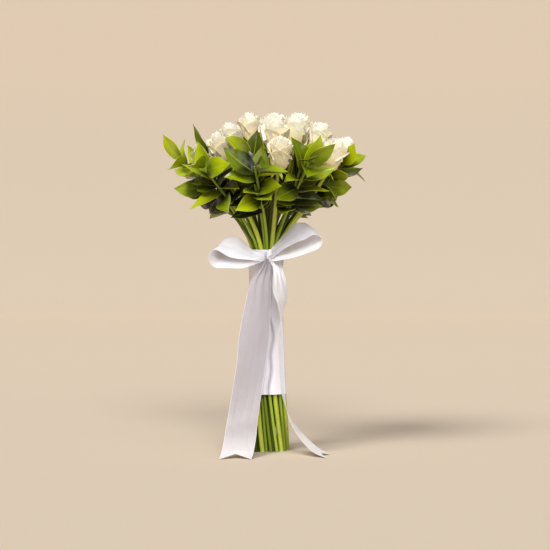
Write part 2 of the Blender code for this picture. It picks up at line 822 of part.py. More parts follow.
def main():
    for leftover in list(bpy.data.objects):
        bpy.data.objects.remove(leftover)
    materials = {name: principled(name) for name in COLOURS}
    stems = planned_stems()
    pack_bundle(stems)
    obstacles = Obstacles()
    build_roses(stems, materials, obstacles)
    build_wraps(stems, materials, obstacles)
    build_ruscus(stems, materials, obstacles)
    pieces = list(bpy.data.objects)
    bouquet = bpy.data.objects.new("rose_bouquet", None)
    bouquet.location = BUNDLE_PLACE
    bpy.context.scene.collection.objects.link(bouquet)
    for piece in pieces:
        piece.parent = bouquet


main()
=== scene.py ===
"""Looks of a hand-tied bouquet: cream roses in glossy ruscus, in a satin sleeve tied with a long-tailed bow.

The stems, leaves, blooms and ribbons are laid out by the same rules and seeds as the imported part, and each
fine piece takes the place of the plain solid that it stands for. Lengths are in metres, +Z is up, and the
bow faces -Y.
"""

import cmath
import logging
import math
import random
from collections.abc import Callable, Sequence
from dataclasses import dataclass, field
from enum import Enum
from itertools import combinations, pairwise
from typing import TypeVar

import bmesh
import bpy
from mathutils import Matrix, Vector
from mathutils.kdtree import KDTree


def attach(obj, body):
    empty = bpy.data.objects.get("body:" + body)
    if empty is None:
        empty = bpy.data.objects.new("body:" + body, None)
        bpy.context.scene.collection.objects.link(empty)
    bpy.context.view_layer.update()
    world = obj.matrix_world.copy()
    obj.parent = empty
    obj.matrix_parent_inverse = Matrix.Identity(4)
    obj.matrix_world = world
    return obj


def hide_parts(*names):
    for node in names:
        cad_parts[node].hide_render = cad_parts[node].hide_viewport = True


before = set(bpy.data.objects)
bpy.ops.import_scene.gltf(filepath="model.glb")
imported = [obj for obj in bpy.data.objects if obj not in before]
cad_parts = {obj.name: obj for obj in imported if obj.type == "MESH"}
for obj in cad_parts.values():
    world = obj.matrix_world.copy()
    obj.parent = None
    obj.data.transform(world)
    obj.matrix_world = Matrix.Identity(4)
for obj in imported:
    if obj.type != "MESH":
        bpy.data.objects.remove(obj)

log = logging.getLogger("bouquet")

MM = 0.001
UP = Vector((0.0, 0.0, 1.0))
BUNDLE_PLACE = Vector((0.0003, 0.0010, 0.0))
TIE_HEIGHT = 0.320
BODY = "root"

Colour = tuple[float, float, float]
Span = tuple[float, float]
Surface = Callable[[float, float], Vector]
Reading = Callable[[float, float], float]
Value = TypeVar("Value", float, Vector)


class Slot(Enum):
    """The record's material slots that the fine pieces stand for."""

    PETAL = "petal_cream"
    ROSE_STEM = "rose_stem_green"
    RUSCUS = "ruscus_green"
    SATIN = "satin_white"


class Kind(Enum):
    """What a stem bears."""

    ROSE = "rose"
    RUSCUS = "ruscus"


def smoothstep(low: float, high: float, value: float) -> float:
    """Rises smoothly from 0 at the low value to 1 at the high one.

    Args:
        low: Where the rise starts.
        high: Where it ends.
        value: Where it is read.

    Returns:
        A number from 0 to 1.
    """
    share = min(1.0, max(0.0, (value - low) / (high - low)))
    return share * share * (3 - 2 * share)


def through(values: Sequence[Value], share: float) -> Value:
    """Reads a smooth curve through values that are evenly spaced.

    Args:
        values: Numbers or vectors.
        share: How far along the curve, from 0 to 1.

    Returns:
        The number or vector there.
    """
    spans = len(values) - 1
    n = min(int(share * spans), spans - 1)
    t = share * spans - n
    before, here, there, after = (values[min(max(k, 0), spans)] for k in (n - 1, n, n + 1, n + 2))
    second = before * 2 - here * 5 + there * 4 - after
    third = here * 3 - before - there * 3 + after
    return here + ((there - before) + (second + third * t) * t) * (t / 2)


@dataclass
class Mould:
    """A mesh in the making, with the attributes that its finish reads."""

    name: str
    mesh: bmesh.types.BMesh = field(default_factory=bmesh.new)
    sharp_from: float = math.radians(60)

    def __post_init__(self) -> None:
        """Adds the attributes: place across and along a petal, leaf or stem, its tone, which on the satin
        paints light and shade, and what it is.
        """
        floats = self.mesh.verts.layers.float
        self.across = floats.new("across")
        self.along = floats.new("along")
        self.tone = floats.new("tone")
        self.blade = floats.new("blade")

    def mark(self, vert: bmesh.types.BMVert, across: float, along: float, tone: float, blade: float) -> None:
        """Sets a vertex's attributes.

        Args:
            vert: The vertex.
            across: Its place across the petal, leaf or ribbon, from -1 to 1.
            along: Its place along it, from 0 to 1.
            tone: The number that sets its part's colour apart from its neighbours'.
            blade: 1 on a leaf or petal and 0 on a stem.
        """
        vert[self.across] = across
        vert[self.along] = along
        vert[self.tone] = tone
        vert[self.blade] = blade

    def sheet(
        self,
        columns: int,
        rows: int,
        surface: Surface,
        tone: float = 0.5,
        blade: float = 1.0,
        wall: float = 0.0,
        lining: float | None = None,
    ) -> list[bmesh.types.BMVert]:
        """Adds a grid bent to a surface.

        Args:
            columns: Quads across.
            rows: Quads along.
            surface: Gives the point at a place across, from -1 to 1, and along, from 0 to 1.
            tone: The number that sets this sheet's colour apart from its neighbours'.
            blade: 1 on a leaf or petal and 0 on a stem.
            wall: The sheet's thickness, or 0 to leave it thin.
            lining: The tone of its other side, where that differs.

        Returns:
            The sheet's vertices on its first side.
        """
        verts = bmesh.ops.create_grid(self.mesh, x_segments=columns, y_segments=rows, size=1.0)["verts"]
        for vert in verts:
            across, along = vert.co.x, (vert.co.y + 1) / 2
            self.mark(vert, across, along, tone, blade)
            vert.co = surface(across, along)
        if wall:
            other_side = self.thicken(verts, wall)
            for vert in other_side if lining is not None else ():
                vert[self.tone] = lining
        return verts

    def thicken(self, verts: Sequence[bmesh.types.BMVert], wall: float) -> list[bmesh.types.BMVert]:
        """Gives the thin sheet that some vertices belong to its thickness.

        Args:
            verts: The sheet's vertices.
            wall: How thick it becomes, in metres.

        Returns:
            The vertices of its new side.
        """
        faces = list(dict.fromkeys(face for vert in verts for face in vert.link_faces))
        for face in faces:
            face.normal_update()
        made = bmesh.ops.solidify(self.mesh, geom=faces, thickness=wall)["geom"]
        return [item for item in made if isinstance(item, bmesh.types.BMVert)]

    def tube(self, frames: Sequence[Matrix], sides: int, tone: float) -> None:
        """Adds a closed tube by drawing a circle through frames.

        Args:
            frames: A matrix at each station, whose scale is the tube's radius there.
            sides: Points round the tube.
            tone: The number that sets this tube's colour apart from its neighbours'.
        """
        foot = bmesh.ops.create_circle(self.mesh, cap_ends=True, segments=sides, radius=1.0, matrix=frames[0])
        cap = foot["verts"][0].link_faces[0]
        cap.normal_update()
        if cap.normal.dot(frames[0].col[2].xyz) > 0:
            cap.normal_flip()
        for vert in foot["verts"]:
            self.mark(vert, 0.0, 0.0, tone, 0.0)
        edges = list(cap.edges)
        for n, (last, this) in enumerate(pairwise(frames), start=1):
            grown = bmesh.ops.extrude_edge_only(self.mesh, edges=edges)["geom"]
            ring = [item for item in grown if isinstance(item, bmesh.types.BMVert)]
            edges = [item for item in grown if isinstance(item, bmesh.types.BMEdge)]
            bmesh.ops.transform(self.mesh, matrix=this @ last.inverted(), verts=ring)
            for vert in ring:
                self.mark(vert, 0.0, n / (len(frames) - 1), tone, 0.0)
            edges = [edge for edge in edges if all(vert in ring for vert in edge.verts)]
        bmesh.ops.edgeloop_fill(self.mesh, edges=edges)

    def stand(self) -> None:
        """Sets what would be below the table on it."""
        for vert in self.mesh.verts:
            vert.co.z = max(0.0, vert.co.z)

    def cast(self, finish: bpy.types.Material, slot: Slot, replaces: str) -> bpy.types.Object:
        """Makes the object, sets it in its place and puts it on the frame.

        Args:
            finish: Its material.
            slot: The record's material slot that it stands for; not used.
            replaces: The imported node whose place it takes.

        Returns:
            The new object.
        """
        bmesh.ops.translate(self.mesh, vec=BUNDLE_PLACE, verts=self.mesh.verts)
        bmesh.ops.recalc_face_normals(self.mesh, faces=self.mesh.faces)
        mesh = bpy.data.meshes.new(self.name)
        self.mesh.to_mesh(mesh)
        self.mesh.free()
        mesh.shade_smooth()
        mesh.set_sharp_from_angle(angle=self.sharp_from)
        mesh.materials.append(finish)
        piece = bpy.data.objects.new(self.name, mesh)
        bpy.context.scene.collection.objects.link(piece)
        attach(piece, BODY)
        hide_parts(replaces)
        log.info("%s: %d faces", self.name, len(mesh.polygons))
        return piece


@dataclass(frozen=True)
class Signal:
    """A number that changes over a surface: a shader socket that can be used in sums."""

    canvas: "Canvas"
    socket: bpy.types.NodeSocket

    def maths(self, operation: str, *others: "Signal | float") -> "Signal":
        """Adds a Math node that takes this number first."""
        sockets = dict(enumerate((self, *others)))
        return self.canvas.signal("ShaderNodeMath", {"operation": operation}, sockets)

    def __add__(self, other: "Signal | float") -> "Signal":
        """This plus another."""
        return self.maths("ADD", other)

    __radd__ = __add__

    def __mul__(self, other: "Signal | float") -> "Signal":
        """This times another."""
        return self.maths("MULTIPLY", other)

    __rmul__ = __mul__

    def __sub__(self, other: "Signal | float") -> "Signal":
        """This minus another."""
        return self.maths("SUBTRACT", other)

    def __rsub__(self, other: float) -> "Signal":
        """A number minus this."""
        return (self * -1.0) + other

    def __pow__(self, power: float) -> "Signal":
        """This to a power."""
        return self.maths("POWER", power)

    def size(self) -> "Signal":
        """This without its sign."""
        return self.maths("ABSOLUTE")

    def wave(self) -> "Signal":
        """The sine of this."""
        return self.maths("SINE")

    def between(self, low: float, high: float) -> "Signal":
        """0 below the low value, 1 above the high one, and a smooth rise between them.

        Args:
            low: Where the rise starts.
            high: Where it ends.

        Returns:
            The new number.
        """
        settings = {"interpolation_type": "SMOOTHSTEP"}
        sockets = {"Value": self, "From Min": low, "From Max": high}
        return self.canvas.signal("ShaderNodeMapRange", settings, sockets)


class Canvas:
    """A material's node tree."""

    def __init__(self, name: str) -> None:
        """Makes the material with its Principled shader.

        Args:
            name: The material's name.
        """
        self.material = bpy.data.materials.new(name)
        self.material.use_nodes = True
        self.nodes = self.material.node_tree.nodes
        self.links = self.material.node_tree.links
        self.shader = self.nodes["Principled BSDF"]

    def plug(self, socket: bpy.types.NodeSocket, value: object) -> None:
        """Sets a socket to a value, or links it to a signal or another socket.

        Args:
            socket: The socket that is set or linked.
            value: The value, signal or socket.
        """
        if isinstance(value, Signal):
            self.links.new(value.socket, socket)
        elif isinstance(value, bpy.types.NodeSocket):
            self.links.new(value, socket)
        else:
            socket.default_value = value

    def node(self, kind: str, settings: dict | None = None, sockets: dict | None = None) -> bpy.types.Node:
        """Adds a node.

        Args:
            kind: The node's type.
            settings: Its own settings, and a ramp's stops under "stops".
            sockets: Values or links by the input's name or number.

        Returns:
            The node.
        """
        made = self.nodes.new(kind)
        for name, value in (settings or {}).items():
            if name == "stops":
                ramp = made.color_ramp
                while len(ramp.elements) < len(value):
                    ramp.elements.new(1.0)
                for element, (place, colour) in zip(ramp.elements, value, strict=True):
                    element.position = place
                    element.color = (*colour, 1.0)
            else:
                setattr(made, name, value)
        for name, value in (sockets or {}).items():
            self.plug(made.inputs[name], value)
        return made

    def signal(self, kind: str, settings: dict | None = None, sockets: dict | None = None) -> Signal:
        """Adds a node and takes its first output as a number."""
        return Signal(self, self.node(kind, settings, sockets).outputs[0])

    def attribute(self, name: str) -> Signal:
        """Reads one of the piece's own attributes."""
        made = self.node("ShaderNodeAttribute", {"attribute_type": "GEOMETRY", "attribute_name": name})
        return Signal(self, made.outputs["Fac"])

    def attributes(self, *names: str) -> list[Signal]:
        """Reads several of the piece's own attributes."""
        return [self.attribute(name) for name in names]

    def point(self, x: Signal | float, y: Signal | float, z: Signal | float) -> bpy.types.NodeSocket:
        """Puts three numbers together as the place that a texture reads."""
        return self.node("ShaderNodeCombineXYZ", sockets={"X": x, "Y": y, "Z": z}).outputs[0]

    def place(self) -> bpy.types.NodeSocket:
        """Where the surface is, in metres."""
        return self.node("ShaderNodeTexCoord").outputs["Object"]

    def coordinates(self) -> list[Signal]:
        """Where the surface is: its x, y and z as numbers, in metres."""
        split = self.node("ShaderNodeSeparateXYZ", sockets={0: self.place()})
        return [Signal(self, output) for output in split.outputs]

    def noise(self, place: bpy.types.NodeSocket, scale: float, detail: float = 3.0) -> Signal:
        """Soft noise, from 0 to 1."""
        sockets = {"Vector": place, "Scale": scale, "Detail": detail, "Roughness": 0.5}
        return self.signal("ShaderNodeTexNoise", {"noise_dimensions": "3D"}, sockets)

    def ramp(self, factor: Signal, *stops: tuple[float, Colour]) -> bpy.types.NodeSocket:
        """Turns a number into a colour."""
        return self.node("ShaderNodeValToRGB", {"stops": stops}, {"Fac": factor}).outputs[0]

    def mix(self, factor: Signal | float, first: object, second: object) -> bpy.types.NodeSocket:
        """Mixes two colours."""
        sockets = {"Factor": factor, 6: as_colour(first), 7: as_colour(second)}
        return self.node("ShaderNodeMix", {"data_type": "RGBA"}, sockets).outputs[2]

    def bump(self, height: Signal, distance: float, strength: float) -> None:
        """Gives the shader a bump from a height that goes from 0 to 1 over the distance."""
        sockets = {"Height": height, "Distance": distance, "Strength": strength}
        self.plug(self.shader.inputs["Normal"], self.node("ShaderNodeBump", sockets=sockets).outputs[0])

    def dress(self, **sockets: object) -> bpy.types.Material:
        """Sets the shader's own sockets.

        Args:
            **sockets: Values or links by the socket's name, with _ for a space.

        Returns:
            The finished material.
        """
        for name, value in sockets.items():
            self.plug(self.shader.inputs[name.replace("_", " ")], value)
        return self.material


def as_colour(value: object) -> object:
    """A tuple of red, green and blue with an alpha of 1 added, or the socket itself."""
    return (*value, 1.0) if isinstance(value, tuple) else value


@dataclass(frozen=True)
class PetalFinish:
    """Cream rose petals: tan to greenish low down, partly their own colour and partly painted shade between
    the layers; nearly white at the rim, with fine lengthwise veins.
    """

    foot: Colour = (0.52, 0.47, 0.14)
    body: Colour = (0.76, 0.63, 0.28)
    cream: Colour = (0.95, 0.87, 0.53)
    rim: Colour = (1.00, 0.96, 0.79)
    heart: Colour = (0.84, 0.80, 0.33)
    tan_tint: Colour = (0.88, 0.64, 0.40)
    body_at: float = 0.45
    cream_at: float = 0.78
    rim_at: float = 0.95
    heart_at: Span = (0.30, 0.88)
    vein_grain: tuple[float, float, float] = (9.0, 1.2, 31.0)
    cloud_grain: float = 90.0
    tan_tint_share: float = 0.55
    vein_share: float = 0.14
    relief: float = 0.0005

    def material(self) -> bpy.types.Material:
        """Makes the material.

        Returns:
            The material.
        """
        canvas = Canvas("rose petals")
        across, along, tone, depth = canvas.attributes("across", "along", "tone", "blade")
        wide, tall, apart = self.vein_grain
        veins = canvas.noise(canvas.point(across * wide, along * tall, tone * apart), 1.6)
        clouds = canvas.noise(canvas.place(), self.cloud_grain, 2.0)
        reach = along + (clouds - 0.5) * 0.10 + (veins - 0.5) * 0.06
        # Both ramps are darker low down: partly the greenish bases that roses have, and partly painted shade
        # where the petal layers hide each other.
        low = ((0.0, self.foot), (self.body_at, self.body))
        outer = canvas.ramp(reach, *low, (self.cream_at, self.cream), (self.rim_at, self.rim))
        inner = canvas.ramp(reach, (self.heart_at[0], self.heart), (self.heart_at[1], self.rim))
        body = canvas.mix(depth, outer, inner)
        # Outer petals below the rim take a tan tint, more on some petals than on others.
        tinted = (tone - depth * 0.5).between(0.35, 0.95) * (1.0 - reach.between(0.80, 0.98))
        warm = canvas.mix(tinted * self.tan_tint_share, body, self.tan_tint)
        lines = (veins - 0.5).size().between(0.02, 0.16)
        colour = canvas.mix(lines * self.vein_share, warm, self.tan_tint)
        canvas.bump(veins * 0.6 + clouds * 0.4, self.relief, 0.7)
        return canvas.dress(
            Base_Color=colour,
            Roughness=veins * 0.15 + 0.48,
            Subsurface_Weight=0.35,
            Subsurface_Radius=(0.004, 0.003, 0.0016),
            Subsurface_Scale=1.0,
            Specular_IOR_Level=0.25,
        )


@dataclass(frozen=True)
class RuscusFinish:
    """Glossy ruscus: dark olive to yellow-green blades, darker as painted shade near the bundle's axis and at
    their bases, long-veined and yellow-edged, on a green stem.
    """

    inside: Colour = (0.008, 0.011, 0.001)
    deep: Colour = (0.050, 0.070, 0.001)
    mid: Colour = (0.180, 0.246, 0.002)
    bright: Colour = (0.425, 0.505, 0.003)
    margin: Colour = (0.560, 0.540, 0.030)
    stem: Colour = (0.300, 0.420, 0.040)
    inside_at: float = 0.10
    deep_at: float = 0.24
    mid_at: float = 0.50
    bright_at: float = 0.86
    shaded_within: Span = (0.068, 0.138)
    streak_grain: tuple[float, float, float] = (7.0, 0.8, 41.0)
    cloud_grain: float = 55.0
    vein_rate: float = 62.0
    rib_half: float = 0.09
    edge_from: Span = (0.94, 0.99)
    gloss_clouds: Span = (0.44, 0.60)
    gloss: float = 0.95
    relief: float = 0.0005

    def material(self) -> bpy.types.Material:
        """Makes the material.

        Returns:
            The material.
        """
        canvas = Canvas("ruscus")
        across, along, tone, blade = canvas.attributes("across", "along", "tone", "blade")
        clouds = canvas.noise(canvas.place(), self.cloud_grain)
        wide, tall, apart = self.streak_grain
        streaks = canvas.noise(canvas.point(across * wide, along * tall, tone * apart), 2.2)
        x, y, _ = canvas.coordinates()
        # Painted shade: blades near the bundle's axis, deep in the collar, are painted nearly black.
        reach = ((x * x + y * y) ** 0.5).between(*self.shaded_within)
        # Painted light and shade: one half of each blade is painted a little lighter than the other, and the
        # blade is painted darker towards its base; tone, clouds and streaks are its own colour.
        lift = tone * 0.70 + clouds * 0.40 + streaks * 0.25 + across * 0.07
        lift = lift + along.between(0.0, 0.7) * 0.36 - 0.42
        low = ((self.inside_at, self.inside), (self.deep_at, self.deep))
        colour = canvas.ramp(lift, *low, (self.mid_at, self.mid), (self.bright_at, self.bright))
        colour = canvas.mix(reach, self.inside, colour)
        rib = 1.0 - across.size().between(0.0, self.rib_half)
        # The yellow margins are partly painted light, shining through the thin edges.
        edge = across.size().between(*self.edge_from)
        colour = canvas.mix(rib * 0.35, colour, self.bright)
        colour = canvas.mix(edge * tone * 0.9, colour, self.margin)
        stalk = canvas.mix(tone.between(0.0, 0.6), self.deep, self.stem)
        colour = canvas.mix(blade, stalk, colour)
        veins = (across * self.vein_rate).wave() * 0.5 + 0.5
        canvas.bump((veins * 0.22 + rib * 0.5 + streaks * 0.5 + clouds * 0.5) * blade, self.relief, 0.5)
        return canvas.dress(
            Base_Color=colour,
            Roughness=clouds * 0.20 + 0.29,
            Specular_IOR_Level=0.13,
            Coat_Weight=blade * clouds.between(*self.gloss_clouds) * self.gloss,
            Coat_Roughness=0.20,
        )


@dataclass(frozen=True)
class RoseStemFinish:
    """A rose's green stem: streaked along its length, browner below and pale where it is cut, with painted
    light at the neck and painted shade on the inner stems.
    """

    top: Colour = (0.700, 0.780, 0.070)
    foot: Colour = (0.335, 0.430, 0.020)
    streak: Colour = (0.560, 0.630, 0.100)
    dark: Colour = (0.070, 0.085, 0.010)
    scar: Colour = (0.180, 0.100, 0.030)
    cut: Colour = (0.600, 0.600, 0.300)
    cut_height: Span = (0.0004, 0.0024)
    streak_grain: Span = (600.0, 18.0)
    spot_grain: float = 160.0
    relief: float = 0.0008

    def material(self) -> bpy.types.Material:
        """Makes the material.

        Returns:
            The material.
        """
        canvas = Canvas("rose stems")
        along, tone = canvas.attributes("along", "tone")
        x, y, z = canvas.coordinates()
        wide, tall = self.streak_grain
        streaks = canvas.noise(canvas.point(x * wide, y * wide, z * tall), 1.0)
        spots = canvas.noise(canvas.place(), self.spot_grain)
        # Darker and browner low down; the pale top is painted lighter against the shade that the leaves throw
        # on the neck.
        body = canvas.mix(along, self.foot, self.top)
        body = canvas.mix((streaks + tone * 0.5).between(0.45, 1.05) * 0.7, body, self.streak)
        body = canvas.mix(spots.between(0.62, 0.76) * 0.5, body, self.scar)
        body = canvas.mix(1.0 - z.between(*self.cut_height), body, self.cut)
        # Painted shade: stems with a low tone, the inner ones of the bundle, are painted dark.
        body = canvas.mix(tone.between(0.15, 0.60), self.dark, body)
        canvas.bump(streaks * 0.6 + spots * 0.4, self.relief, 0.7)
        return canvas.dress(Base_Color=body, Roughness=streaks * 0.2 + 0.38, Specular_IOR_Level=0.25)


@dataclass(frozen=True)
class SatinFinish:
    """White satin: soft-lit, with a fine weave, faint wrinkles, painted lavender shade in its creases and
    wrinkles, and a firm selvedge.

    Attributes:
        name: The material's name.
        threads: How many threads cross the cloth from its middle to its edge.
        thinness: How much of the light goes into the cloth.
    """

    name: str = "ribbon satin"
    threads: float = 60.0
    white: Colour = (0.94, 0.93, 1.00)
    painted_shade: Colour = (0.310, 0.285, 0.320)
    shade: Colour = (0.68, 0.65, 0.83)
    thinness: float = 0.55
    slant: float = 0.35
    wrinkle_grain: float = 55.0
    crease_grain: tuple[float, float, float] = (0.8, 1.0, 9.0)
    selvedge: Span = (0.955, 0.985)
    lit_end: Span = (0.70, 0.97)
    relief: float = 0.0020

    def material(self) -> bpy.types.Material:
        """Makes the material.

        Returns:
            The material.
        """
        canvas = Canvas(self.name)
        across, along, tone = canvas.attributes("across", "along", "tone")
        wrinkles = canvas.noise(canvas.place(), self.wrinkle_grain)
        wide, tall, apart = self.crease_grain
        creases = canvas.noise(canvas.point(across * wide, along * tall, tone * apart), 3.2, 2.0)
        weave = ((across + along * self.slant) * (self.threads * math.tau)).wave() * 0.5 + 0.5
        edge = across.size().between(*self.selvedge)
        # The tone paints how lit the satin looks: 1 is the full white, and lower tones are painted shade, as
        # on the left tail and the insides of the loops; every run is painted lighter towards the far end of
        # its length.
        lit = tone + (1.0 - tone) * along.between(*self.lit_end) * 0.65
        colour = canvas.mix(lit, self.painted_shade, self.white)
        # Painted shade: lavender in the creases and wrinkles, where the satin is painted lit.
        colour = canvas.mix(creases.between(0.46, 0.70) * lit * 0.40, colour, self.shade)
        colour = canvas.mix(wrinkles.between(0.35, 0.80) * lit * 0.25, colour, self.shade)
        colour = canvas.mix(edge * 0.5, colour, self.white)
        canvas.bump(wrinkles * 0.6 + creases * 0.9 + weave * 0.012 + edge * 0.12, self.relief, 0.45)
        return canvas.dress(
            Base_Color=colour,
            Roughness=wrinkles * 0.14 + 0.32 + edge * 0.2,
            Specular_IOR_Level=0.45,
            Sheen_Weight=0.20,
            Sheen_Roughness=0.35,
            Subsurface_Weight=self.thinness,
            Subsurface_Radius=(0.004, 0.004, 0.0048),
            Subsurface_Scale=1.0,
        )


@dataclass(frozen=True)
class TapeFinish:
    """Green binding tape, wound in close turns."""

    green: Colour = (0.20, 0.31, 0.12)
    dark: Colour = (0.12, 0.20, 0.08)
    grain: float = 900.0
    relief: float = 0.0004

    def material(self) -> bpy.types.Material:
        """Makes the material.

        Returns:
            The material.
        """
        canvas = Canvas("binding tape")
        crinkle = canvas.noise(canvas.place(), self.grain)
        canvas.bump(crinkle, self.relief, 0.7)
        return canvas.dress(Base_Color=canvas.mix(crinkle, self.dark, self.green), Roughness=0.6)


@dataclass(frozen=True)
class StageFinish:
    """The plain beige of the floor and the backdrop, painted paler where less light falls on it."""

    beige: Colour = (0.719, 0.605, 0.4765)
    black: Colour = (0.0, 0.0, 0.0)

    def material(self) -> bpy.types.Material:
        """Makes the material.

        Returns:
            The material.
        """
        canvas = Canvas("studio beige")
        return canvas.dress(
            Base_Color=canvas.ramp(canvas.attribute("paint"), (0.0, self.black), (1.0, self.beige)),
            Roughness=0.95,
            Specular_IOR_Level=0.1,
        )


@dataclass(frozen=True)
class Ring:
    """Stems that leave the bundle at one distance from its centre and end at one height."""

    kind: Kind
    count: int
    start_radius: float
    head_radius: float
    head_height: float
    tilt: float
    azimuth: float = 0.0
    radius_jitter: float = 0.0
    height_jitter: float = 0.0
    shift: float = 0.0
    leaves: int = 0


# The rings from the middle of the bundle outwards, in metres and radians.
FRONT_ROSE_AZIMUTH = math.radians(-87)
BETWEEN_ROSES = FRONT_ROSE_AZIMUTH + math.pi / 7
RINGS = (
    Ring(Kind.ROSE, 1, 0.0, 0.0, 0.484, 0.0, shift=0.014),
    Ring(Kind.ROSE, 6, 0.010, 0.037, 0.483, math.radians(7), 0.325, 0.001, 0.003, 0.014),
    Ring(Kind.ROSE, 6, 0.018, 0.074, 0.471, math.radians(15), math.radians(30), 0.002, 0.004, 0.014),
    Ring(Kind.RUSCUS, 7, 0.022, 0.091, 0.462, math.radians(22), BETWEEN_ROSES, 0.003, 0.006, 0.012, leaves=7),
    Ring(Kind.ROSE, 7, 0.026, 0.102, 0.448, math.radians(26), FRONT_ROSE_AZIMUTH, 0.002, 0.006, 0.014),
    Ring(Kind.RUSCUS, 9, 0.032, 0.130, 0.456, math.radians(42), 0.42, 0.003, 0.007, -0.003, leaves=15),
)


@dataclass
class Stem:
    """One stem of the bundle, with its centre line from the table to its head."""

    name: str
    ring: Ring
    radius: float
    start: complex
    head_plan: complex
    head_height: float
    waist: complex = 0j
    twist: float = -4.0
    fan_start: float = 0.42
    taper: float = 0.25
    step: float = 0.0005

    def rise(self) -> float:
        """How far the head is above the tie."""
        return self.head_height - TIE_HEIGHT

    def point(self, height: float) -> Vector:
        """Where the centre line is at a height.

        Args:
            height: The height, in metres.

        Returns:
            The point.
        """
        if height <= TIE_HEIGHT:
            plan = self.waist * Bundle.spread(height) * cmath.exp(1j * self.twist * (height - TIE_HEIGHT))
            return Vector((plan.real, plan.imag, height))
        share = (height - TIE_HEIGHT) / self.rise()
        reach = self.head_plan - self.waist
        ease = share * share * (3 - 2 * share)
        leave = share * (1 - share) ** 2 * self.fan_start * reach
        outward = self.head_plan / abs(self.head_plan) if self.head_plan else 0
        arrive = share * share * (share - 1) * math.tan(self.ring.tilt) * self.rise() * outward
        turn = cmath.exp(1j * self.twist * self.rise() * (share - share * share / 2))
        plan = (self.waist + ease * reach + leave + arrive) * turn
        return Vector((plan.real, plan.imag, height))

    def direction(self, height: float) -> Vector:
        """Which way the stem grows at a height."""
        return (self.point(height + self.step) - self.point(height - self.step)).normalized()

    def axis(self) -> Vector:
        """The way that the bloom or the tip faces.

        Returns:
            A vector of length 1.
        """
        head = self.point(self.head_height)
        outward = Vector((head.x, head.y, 0)).normalized() if self.head_plan else Vector()
        return (UP + outward * math.tan(self.ring.tilt)).normalized()

    def seat(self, lift: float = 0.0) -> Matrix:
        """A matrix at the stem's head with Z along its axis.

        Args:
            lift: How far past the head, in metres.

        Returns:
            The matrix.
        """
        origin = self.point(self.head_height) + self.axis() * lift
        return Matrix.Translation(origin) @ self.axis().to_track_quat("Z", "Y").to_matrix().to_4x4()

    def frames(
        self, stations: int, top: float, swell: Callable[[float], float] = lambda height: 1.0
    ) -> list[Matrix]:
        """Frames for a tube along the stem.

        Args:
            stations: How many.
            top: The height of the last one.
            swell: Gives how much thicker the stem is at a height.

        Returns:
            A matrix at each station, scaled to the stem's radius.
        """
        made = []
        for n in range(stations):
            height = top * n / (stations - 1)
            along = self.direction(max(height, 2 * self.step))
            across = (Vector((1, 0, 0)) - along * along.x).normalized()
            thin = 1.0 - self.taper * max(0.0, height - TIE_HEIGHT) / self.rise()
            radius = self.radius * thin * swell(height)
            turn = Matrix((across, along.cross(across), along)).transposed().to_4x4()
            made.append(Matrix.Translation(self.point(height)) @ turn @ Matrix.Diagonal((radius,) * 3 + (1,)))
        return made


@dataclass
class Bundle:
    """The spiral bundle of all the stems."""

    seed: int = 11
    rose_radius: float = 0.0037
    ruscus_radius: float = 0.0025
    gap: float = 0.00050
    steps: int = 60
    sweeps: int = 14
    last_sweeps: int = 280
    pull: float = 0.03
    stems: list[Stem] = field(default_factory=list)

    foot_spread: float = 0.60
    foot_power: float = 1.6

    @classmethod
    def spread(cls, height: float) -> float:
        """How much wider the bundle is at a height than at the tie."""
        return 1 + cls.foot_spread * (max(0.0, TIE_HEIGHT - height) / TIE_HEIGHT) ** cls.foot_power

    def plan(self) -> None:
        """Lays out every stem's place in its ring and the place that its head goes to."""
        draw = random.Random(self.seed)
        counts = dict.fromkeys(Kind, 0)
        for ring in RINGS:
            for n in range(ring.count):
                counts[ring.kind] += 1
                height = ring.head_height + draw.uniform(-1, 1) * ring.height_jitter
                reach = ring.head_radius + draw.uniform(-1, 1) * ring.radius_jitter
                turned = ring.azimuth - Stem.twist * (height - TIE_HEIGHT) / 2
                azimuth = turned + math.tau * n / ring.count
                shift = ring.shift * cmath.rect(1, turned - ring.azimuth)
                self.stems.append(
                    Stem(
                        name=f"{ring.kind.value}_stem_{counts[ring.kind]:02d}",
                        ring=ring,
                        radius=self.rose_radius if ring.kind is Kind.ROSE else self.ruscus_radius,
                        start=cmath.rect(ring.start_radius, azimuth),
                        head_plan=cmath.rect(reach, azimuth) + shift,
                        head_height=height,
                    )
                )

    def pack(self) -> None:
        """Draws the stems together at the tie until they all but touch."""
        places = [stem.start for stem in self.stems]
        for step in range(self.steps + 1):
            drawn = 1 - self.pull * (1 - step / self.steps)
            places = [place * drawn for place in places]
            for _ in range(self.sweeps if step < self.steps else self.last_sweeps):
                for i, j in combinations(range(len(places)), 2):
                    apart = places[j] - places[i]
                    short = self.stems[i].radius + self.stems[j].radius + self.gap - abs(apart)
                    if short > 0:
                        shove = apart / abs(apart) * short / 2
                        places[i] -= shove
                        places[j] += shove
        for stem, place in zip(self.stems, places, strict=True):
            stem.waist = place - places[0]

    def radius(self, height: float) -> float:
        """Radius of the circle round all the stems at a height in the handle."""
        return max(abs(stem.waist) * self.spread(height) + stem.radius for stem in self.stems)

    def of_kind(self, kind: Kind) -> list[Stem]:
        """The stems that bear roses, or those that bear leaves."""
        return [stem for stem in self.stems if stem.ring.kind is kind]


